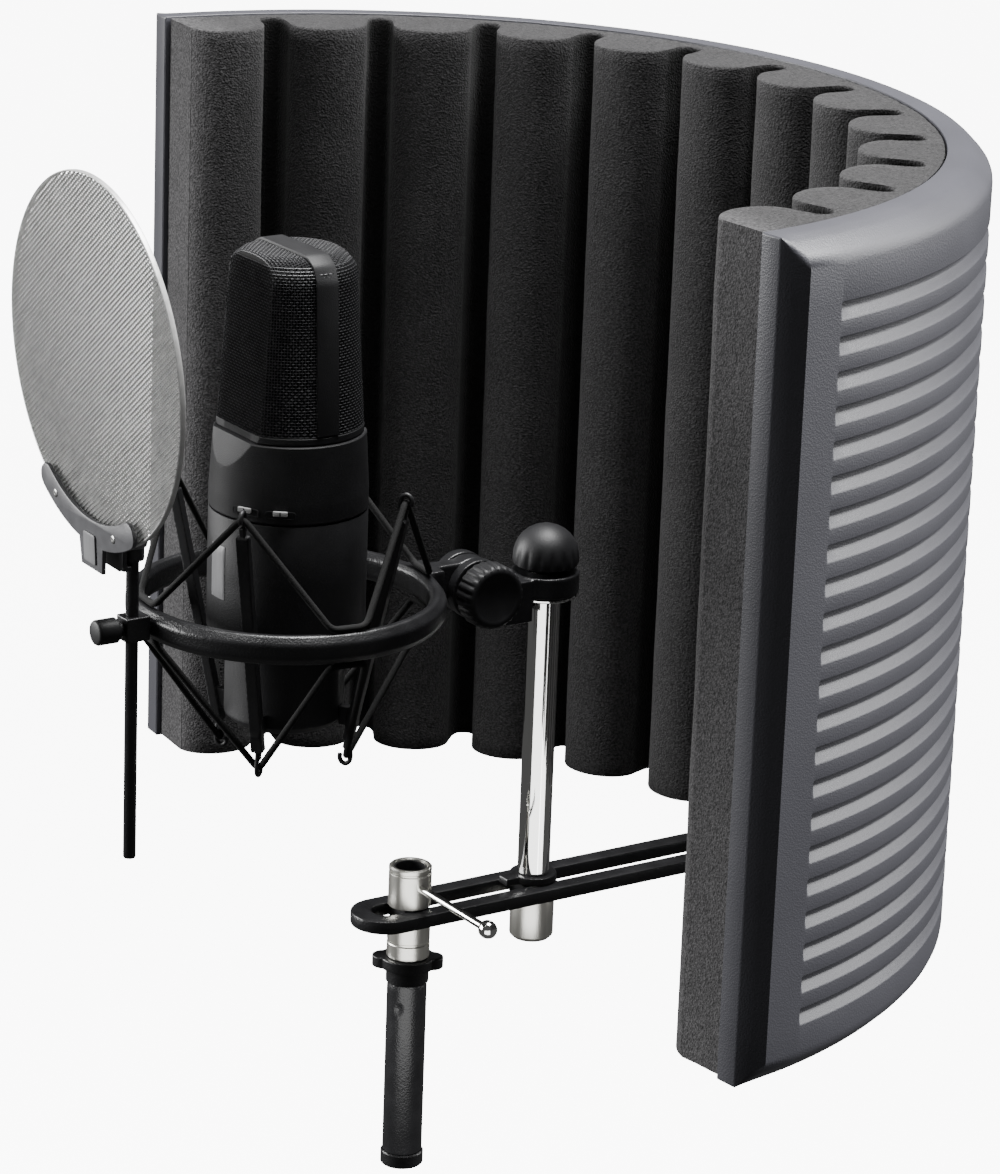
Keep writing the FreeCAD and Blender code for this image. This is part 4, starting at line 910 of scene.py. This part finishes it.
# ---------------------------------------------------------------- microphone
MIC = Matrix.Translation((0, HOOP_AXIS_Y, 0))


def faced(low_offset, low, high_offset, high, grow=0.0):
    """Ripple that flattens a turned piece front and back, along planes that lean between two offsets."""
    def reach(angle, radius, height):
        limit = low_offset + (high_offset - low_offset) * (height - low) / (high - low) + grow
        across = abs(math.sin(angle))
        return min(radius, limit / across) if across > 1e-6 else radius
    return reach


def microphone_body():
    add(lathe("mic_base_body", [(11, 221.5), (22.6, 221.5), (23.4, 221.8), (26.9, 223.3), (27.6, 223.9),
        (28.9, 227.8), (29, 228.8), (29, 234), (29, 250), (29, 272.7), (28.7, 273.2), (27.4, 273.3),
        (27, 272.9), (27, 229.5), (22, 224.5), (11, 224.5)], "mic_black", MIC, 192, ring=True),
        "microphone", "mic_base")
    steps = 28
    cone = [(29.0 - 1.3 * k / steps, 280.7 + 21.1 * k / steps) for k in range(steps + 1)]
    add(lathe("mic_body_shell", [(27, 273.7), (28.7, 273.8), (29, 274.3), (29, 277)] + cone
        + [(27.3, 302.2), (21.6, 302.2), (21.6, 296), (27, 289)], "mic_black", MIC, 288,
        faced(29.6, 288.6, 23.7, 303.0), ring=True, sharp=9.0), "microphone", "mic_body")
    add(lathe("grille_ring_body", [(24, 302.6), (26.5, 302.6), (26.8, 302.9), (26.8, 304.9),
        (26.5, 305.2), (24, 305.2)], "mic_black", MIC, 240, faced(21.9, 300.6, 17.3, 365.5, 0.4),
        ring=True), "microphone", "grille_ring")
    for number, degrees, body in ((1, -62.5, "switch_left"), (2, -36.5, "switch_right")):
        turn = Matrix.Rotation(math.radians(degrees + 90), 3, "Z")
        low, high = span(f"mic_switch_{number}")
        spot = (low + high) / 2
        slide = block(f"switch_{number}_slide", (5.2, 1.2, 1.8), spot, "switch_grey", 0.25, turn)
        groove = block(f"switch_{number}_ridge", (0.5, 1.4, 1.5), spot, "mic_black", 0.1, turn)
        add(joined([slide, groove], f"switch_{number}_body"), body, f"mic_switch_{number}")
        window = eased([(-5.6, -1.5), (5.6, -1.5), (5.6, 1.5), (-5.6, 1.5)], 1.4, closed=True, steps=6)
        inner = eased([(-5.1, -1.1), (5.1, -1.1), (5.1, 1.1), (-5.1, 1.1)], 1.1, closed=True, steps=6)
        place = Matrix.Translation(on_mount(29.06, degrees, 277.5))
        face = place @ turn.to_4x4() @ Matrix.Rotation(math.pi / 2, 4, "X")
        add(plate(f"switch_{number}_frame", [window, inner], 0.35, "mic_black", face, 0.1), "microphone")
    half_height, half_width = 10.0, math.degrees(4.5 / 29.3)
    columns, rows, rim_radius, face_radius = 16, 12, 29.12, 29.45
    points = []
    for column in range(columns + 1):
        for row in range(rows + 1):
            u, v = 2 * column / columns - 1, 2 * row / rows - 1
            radius = rim_radius if max(abs(u), abs(v)) > 0.99 else face_radius
            points.append(on_mount(radius, 270 + half_width * u, 252 + half_height * v))
    add(mesh_piece("mic_badge_plate", points, net_faces(columns + 1, rows + 1), "badge_grey"),
        "microphone", "mic_badge")


GRILLE_PROFILE = [(26.4, 305.4), (23.0, 360.5), (22.4, 363.6), (20.6, 365.9), (18.4, 367.4), (15.5, 368.3)]


def grille_radius(height):
    """Radius of the grille at a height, before the flats are cut."""
    for (low_radius, low), (high_radius, high) in zip(GRILLE_PROFILE, GRILLE_PROFILE[1:]):
        if height <= high:
            return low_radius + (high_radius - low_radius) * (height - low) / (high - low)
    return GRILLE_PROFILE[-1][0]


def grille_top(distance):
    """Height of the grille's top at a distance from its axis."""
    if distance <= 15.5:
        return 368.3
    for (outer, low), (inner, high) in zip(GRILLE_PROFILE[1:], GRILLE_PROFILE[2:]):
        if inner <= distance <= outer:
            return high + (low - high) * (distance - inner) / (outer - inner)
    return 360.5


def woven(name, lines, radius, finish):
    """Many thin wires as one mesh. Each line is a list of (place, outward normal)."""
    points, faces = [], []
    for line in lines:
        start = len(points)
        for k, (place, out) in enumerate(line):
            along = (Vector(line[min(k + 1, len(line) - 1)][0]) - Vector(line[max(k - 1, 0)][0])).normalized()
            side = along.cross(out).normalized()
            for turn in (90, 210, 330):
                angle = math.radians(turn)
                points.append(Vector(place) + radius * (side * math.cos(angle) + out * math.sin(angle)))
        faces += tube_faces(len(line), 3, start)
    return mesh_piece(name, points, faces, finish, 80.0)


def grille():
    """Woven wire head over a dark lining, with a smooth band over its top."""
    flat = faced(21.9, 300.6, 17.3, 365.5)
    pitch, wire, wave = 1.05, 0.22, 0.15
    low, high = 305.6, 365.8

    def place(angle, height, offset):
        reach = flat(angle, grille_radius(height), height) + offset
        return Vector((reach * math.cos(angle), HOOP_AXIS_Y + reach * math.sin(angle), height))

    def outward(angle, height):
        reach = flat(angle, grille_radius(height), height)
        if reach < grille_radius(height) - 1e-6:
            return Vector((0, math.copysign(1.0, math.sin(angle)), 0.08)).normalized()
        return Vector((math.cos(angle), math.sin(angle), 0.06)).normalized()

    samples = [2 * math.pi * k / 1440 for k in range(1440)]
    rim = [place(angle, 335.0, 0) for angle in samples]
    lengths = [0.0]
    for k in range(1440):
        lengths.append(lengths[-1] + (rim[(k + 1) % 1440] - rim[k]).length)
    count = 2 * round(lengths[-1] / pitch / 2)
    angles, sample = [], 0
    for k in range(count):
        while lengths[sample + 1] < lengths[-1] * k / count:
            sample += 1
        angles.append(samples[sample % 1440])
    rows = round((high - low) / pitch)
    lines = []
    for k, angle in enumerate(angles):
        heights = [low + (high - low) * step / rows for step in range(rows + 1)]
        lines.append([(place(angle, height, wave * math.cos(math.pi * (step + k))), outward(angle,
            height)) for step, height in enumerate(heights)])
    for row in range(rows + 1):
        height = low + (high - low) * row / rows
        line = [(place(angle, height, -wave * math.cos(math.pi * (step + row))), outward(angle, height))
            for step, angle in enumerate(angles)]
        lines.append(line + [line[0]])
    side = woven("grille_side_wires", lines, wire, "mic_mesh")

    lines = []
    top_radius = 21.4
    for along_x in (True, False):
        limit = int(top_radius / pitch)
        for k in range(-limit, limit + 1):
            offset = k * pitch
            reach = math.sqrt(max(0.0, top_radius ** 2 - offset ** 2))
            if not along_x:
                reach = min(reach, 17.2)
            if along_x and abs(offset) > 17.2:
                continue
            steps = int(reach / pitch)
            line = []
            for step in range(-steps, steps + 1):
                travel = step * pitch
                x, y = (travel, offset) if along_x else (offset, travel)
                sign = 1 if along_x else -1
                lift = sign * wave * math.cos(math.pi * (travel / pitch + k))
                line.append((Vector((x, HOOP_AXIS_Y + y, grille_top(math.hypot(x, y)) + lift)), Z_AXIS))
            lines.append(line)
    top = woven("grille_top_wires", lines, wire, "mic_mesh")
    inset = 0.75
    profile = [(radius - inset, height) for radius, height in GRILLE_PROFILE]
    profile[0] = (profile[0][0], 304.9)
    dense = []
    for (r0, z0), (r1, z1) in zip(profile, profile[1:]):
        steps = 12 if z1 - z0 > 10 else 2
        dense += [(r0 + (r1 - r0) * k / steps, z0 + (z1 - z0) * k / steps) for k in range(steps)]
    dense += [(profile[-1][0], profile[-1][1] - inset), (0, profile[-1][1] - inset)]
    back = [(0, 366.4), (14.6, 366.4), (19.4, 363.8), (21.5, 359), (24.6, 305)]
    lining = lathe("grille_lining", dense + back, "mesh_lining", MIC, 192, faced(21.9, 300.6, 17.3, 365.5,
        -inset))
    add(joined([side, top, lining], "grille_mesh"), "microphone", "mic_grille")

    outer = [(26.9, 305.5), (23.7, 360.7), (21.0, 366.7), (15.8, 369.5)]
    inner = [(26.1, 305.5), (22.7, 360.4), (20.2, 365.5), (15.5, 368.0)]
    outline = outer + [(-x, z) for x, z in outer[::-1]] + [(-x, z) for x, z in inner] + inner[::-1]
    outline = eased(outline, 1.6, closed=True, steps=4)
    matrix = Matrix.Translation((0, HOOP_AXIS_Y, 0)) @ Matrix.Rotation(math.pi / 2, 4, "X")
    add(plate("grille_band_body", [outline], 9.0, "mic_black", matrix, 0.35), "microphone", "grille_band")


# ---------------------------------------------------------------- pop screen
SCREEN = (Matrix.Translation((0, -137, 336.5)) @ Matrix.Rotation(math.radians(-2.5), 4, "Z")
    @ Matrix.Rotation(math.radians(92.8), 4, "X"))


def screen_mesh(name, node, height, turn, shift):
    """A trimmed disc of diagonal weave: thick wires one way, thin ones set closer the other way."""
    radius, wave = 66.4, 0.12
    normal = SCREEN.to_3x3() @ Z_AXIS
    families = ((turn, 1.55, 0.8, 0.37, -1), (turn + 90, 0.8, 1.55, 0.17, 1))
    parts = []
    for degrees, pitch, crossing, wire, sign in families:
        angle = math.radians(degrees)
        along = Vector((math.cos(angle), math.sin(angle), 0))
        across = Vector((-math.sin(angle), math.cos(angle), 0))
        limit = int(radius / pitch)
        lines = []
        for k in range(-limit, limit + 1):
            offset = k * pitch + (shift if sign < 0 else 0)
            reach = math.sqrt(max(0.0, radius ** 2 - offset ** 2))
            first, last = math.ceil(-reach / crossing), math.floor(reach / crossing)
            line = []
            for step in range(first, last + 1):
                lift = sign * wave * math.cos(math.pi * (step + k))
                spot = along * (step * crossing) + across * offset + Vector((0, 0, height + lift))
                line.append((SCREEN @ spot, normal))
            if len(line) > 1:
                lines.append(line)
        parts.append(woven(f"{name}_{degrees}", lines, wire, "screen_mesh"))
    add(joined(parts, name), "screen", node)


def clip_outline(first, last, inner, outer, tab):
    """Crescent along the screen's lower edge, with a tab down to the rod's bracket."""
    cap = (outer - inner) / 2
    middle = (outer + inner) / 2

    def spot(radius, degrees):
        return (radius * math.cos(math.radians(degrees)), radius * math.sin(math.radians(degrees)))

    outline = [spot(inner, first + (last - first) * k / 30) for k in range(31)]
    for step in range(1, 8):
        share = math.pi * step / 8
        outline.append(spot(middle - cap * math.cos(share), last + 4.2 * math.sin(share)))
    outline += [spot(outer, last + (-83 - last) * k / 8) for k in range(9)]
    outline += [(spot(outer, -83)[0] - 1.2, tab), (spot(outer, -99)[0] + 1.2, tab)]
    outline += [spot(outer, -99 + (first + 99) * k / 10) for k in range(11)]
    for step in range(1, 8):
        share = math.pi * step / 8
        outline.append(spot(middle + cap * math.cos(share), first - 4.2 * math.sin(share)))
    return outline


def pop_screen():
    """Double mesh screen with a welded edge, its clip and bracket, and the rod with its thumb screw."""
    add(lathe("screen_rim_body", [(66.1, -0.9), (66.4, -1.1), (66.7, -0.8), (66.8, 0), (66.7, 0.8),
        (66.4, 1.1), (66.1, 0.9), (66.2, 0)], "screen_mesh", SCREEN, 240, ring=True), "screen",
        "screen_rim")
    screen_mesh("screen_mesh_front", "mesh_front", 0.65, 36, 0.0)
    screen_mesh("screen_mesh_back", "mesh_back", -0.65, 36, 0.78)
    front = plate("clip_front", [clip_outline(-125, -63, 58, 67.6, -76.5)], 1.8, "clip_grey", SCREEN
        @ Matrix.Translation((0, 0, 3.3)), 0.45)
    parts = [front]
    for degrees in (-117, -74):
        spot = Vector((62.8 * math.cos(math.radians(degrees)), 62.8 * math.sin(math.radians(degrees)), 4.2))
        parts.append(lathe("clip_rivet", [(0, -0.6), (1.5, -0.6), (1.5, 0.15), (1.2, 0.35), (0.5, 0.4),
            (0, 0.2)], "plain_steel", SCREEN @ Matrix.Translation(spot), 32))
    add(joined(parts, "clip_front_body"), "screen", "screen_clip")
    add(plate("clip_back_body", [clip_outline(-112, -68, 58, 67.6, -76.5)], 1.8, "clip_grey", SCREEN
        @ Matrix.Translation((0, 0, -3.3)), 0.45), "screen", "clip_back")
    add(plate("clip_badge_plate", [eased([(-4.5, -5.5), (4.5, -5.5), (4.5, 5.5), (-4.5, 5.5)], 1.2, True,
        5)], 0.6, "badge_grey", SCREEN @ Matrix.Translation((-1.2, -68.6, 4.55)), 0.15), "screen",
        "clip_badge")
    add(softened("screen_bracket", "black_steel", 0.25, 3), "screen", "screen_bracket")
    add(softened("rod_head", "black_steel", 0.3, 4), "pop_rod", "rod_head")
    low, high = span("pop_rod")
    axis_y = (low.y + high.y) / 2
    add(lathe("pop_rod_body", [(0, low.z), (1.6, low.z), (2.1, low.z + 0.2), (2.35, low.z + 0.8),
        (2.35, high.z), (0, high.z)], "black_steel", upright((0, axis_y, 0)), 48), "pop_rod", "pop_rod")
    add(lathe("thumb_screw_body", [(0, 2.4), (1.3, 2.4), (1.5, 2.6), (1.5, 4.8), (2.8, 4.8), (2.8, 6.2),
        (4.3, 6.5), (4.7, 7), (4.7, 14.2), (4.3, 14.9), (3.7, 15.2), (0, 15.2)], "knob_plastic",
        upright((0, axis_y, 236), (0, -1, 0)), 96, knurled(28, 0.35, 4.5, 7.4, 14.0)), "thumb_screw",
        "thumb_screw")


# ---------------------------------------------------------------- hidden nodes that keep their shape
KEPT_NODES = {
    "black_steel": ["backing_plate"],
    "bush_plastic": ["slot_bush", "post_bush"],
    "perforated_steel": ["perforated_sheet"],
    "inner_plastic": ["capsule_mount", "xlr_insert"],
    "capsule_brass": ["capsule"],
    "board_green": ["circuit_board"],
    "xlr_nickel": ["xlr_shell"],
}


def finish_kept_nodes():
    for finish, names in KEPT_NODES.items():
        for name in names:
            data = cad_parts[name].data
            data.materials.clear()
            data.materials.append(FINISH[finish])


camera()
FINISH = make_materials()
studio()
shell()
foam()
felt()
arm()
arm_knobs()
stand()
post()
tilt_head()
hoop()
cradle()
cord_loop("elastic_upper", 45.0, 280.4, 242.85)
cord_loop("elastic_lower", 24.5, 179.1, 229.15)
microphone_body()
grille()
pop_screen()
finish_kept_nodes()
linked_lights()
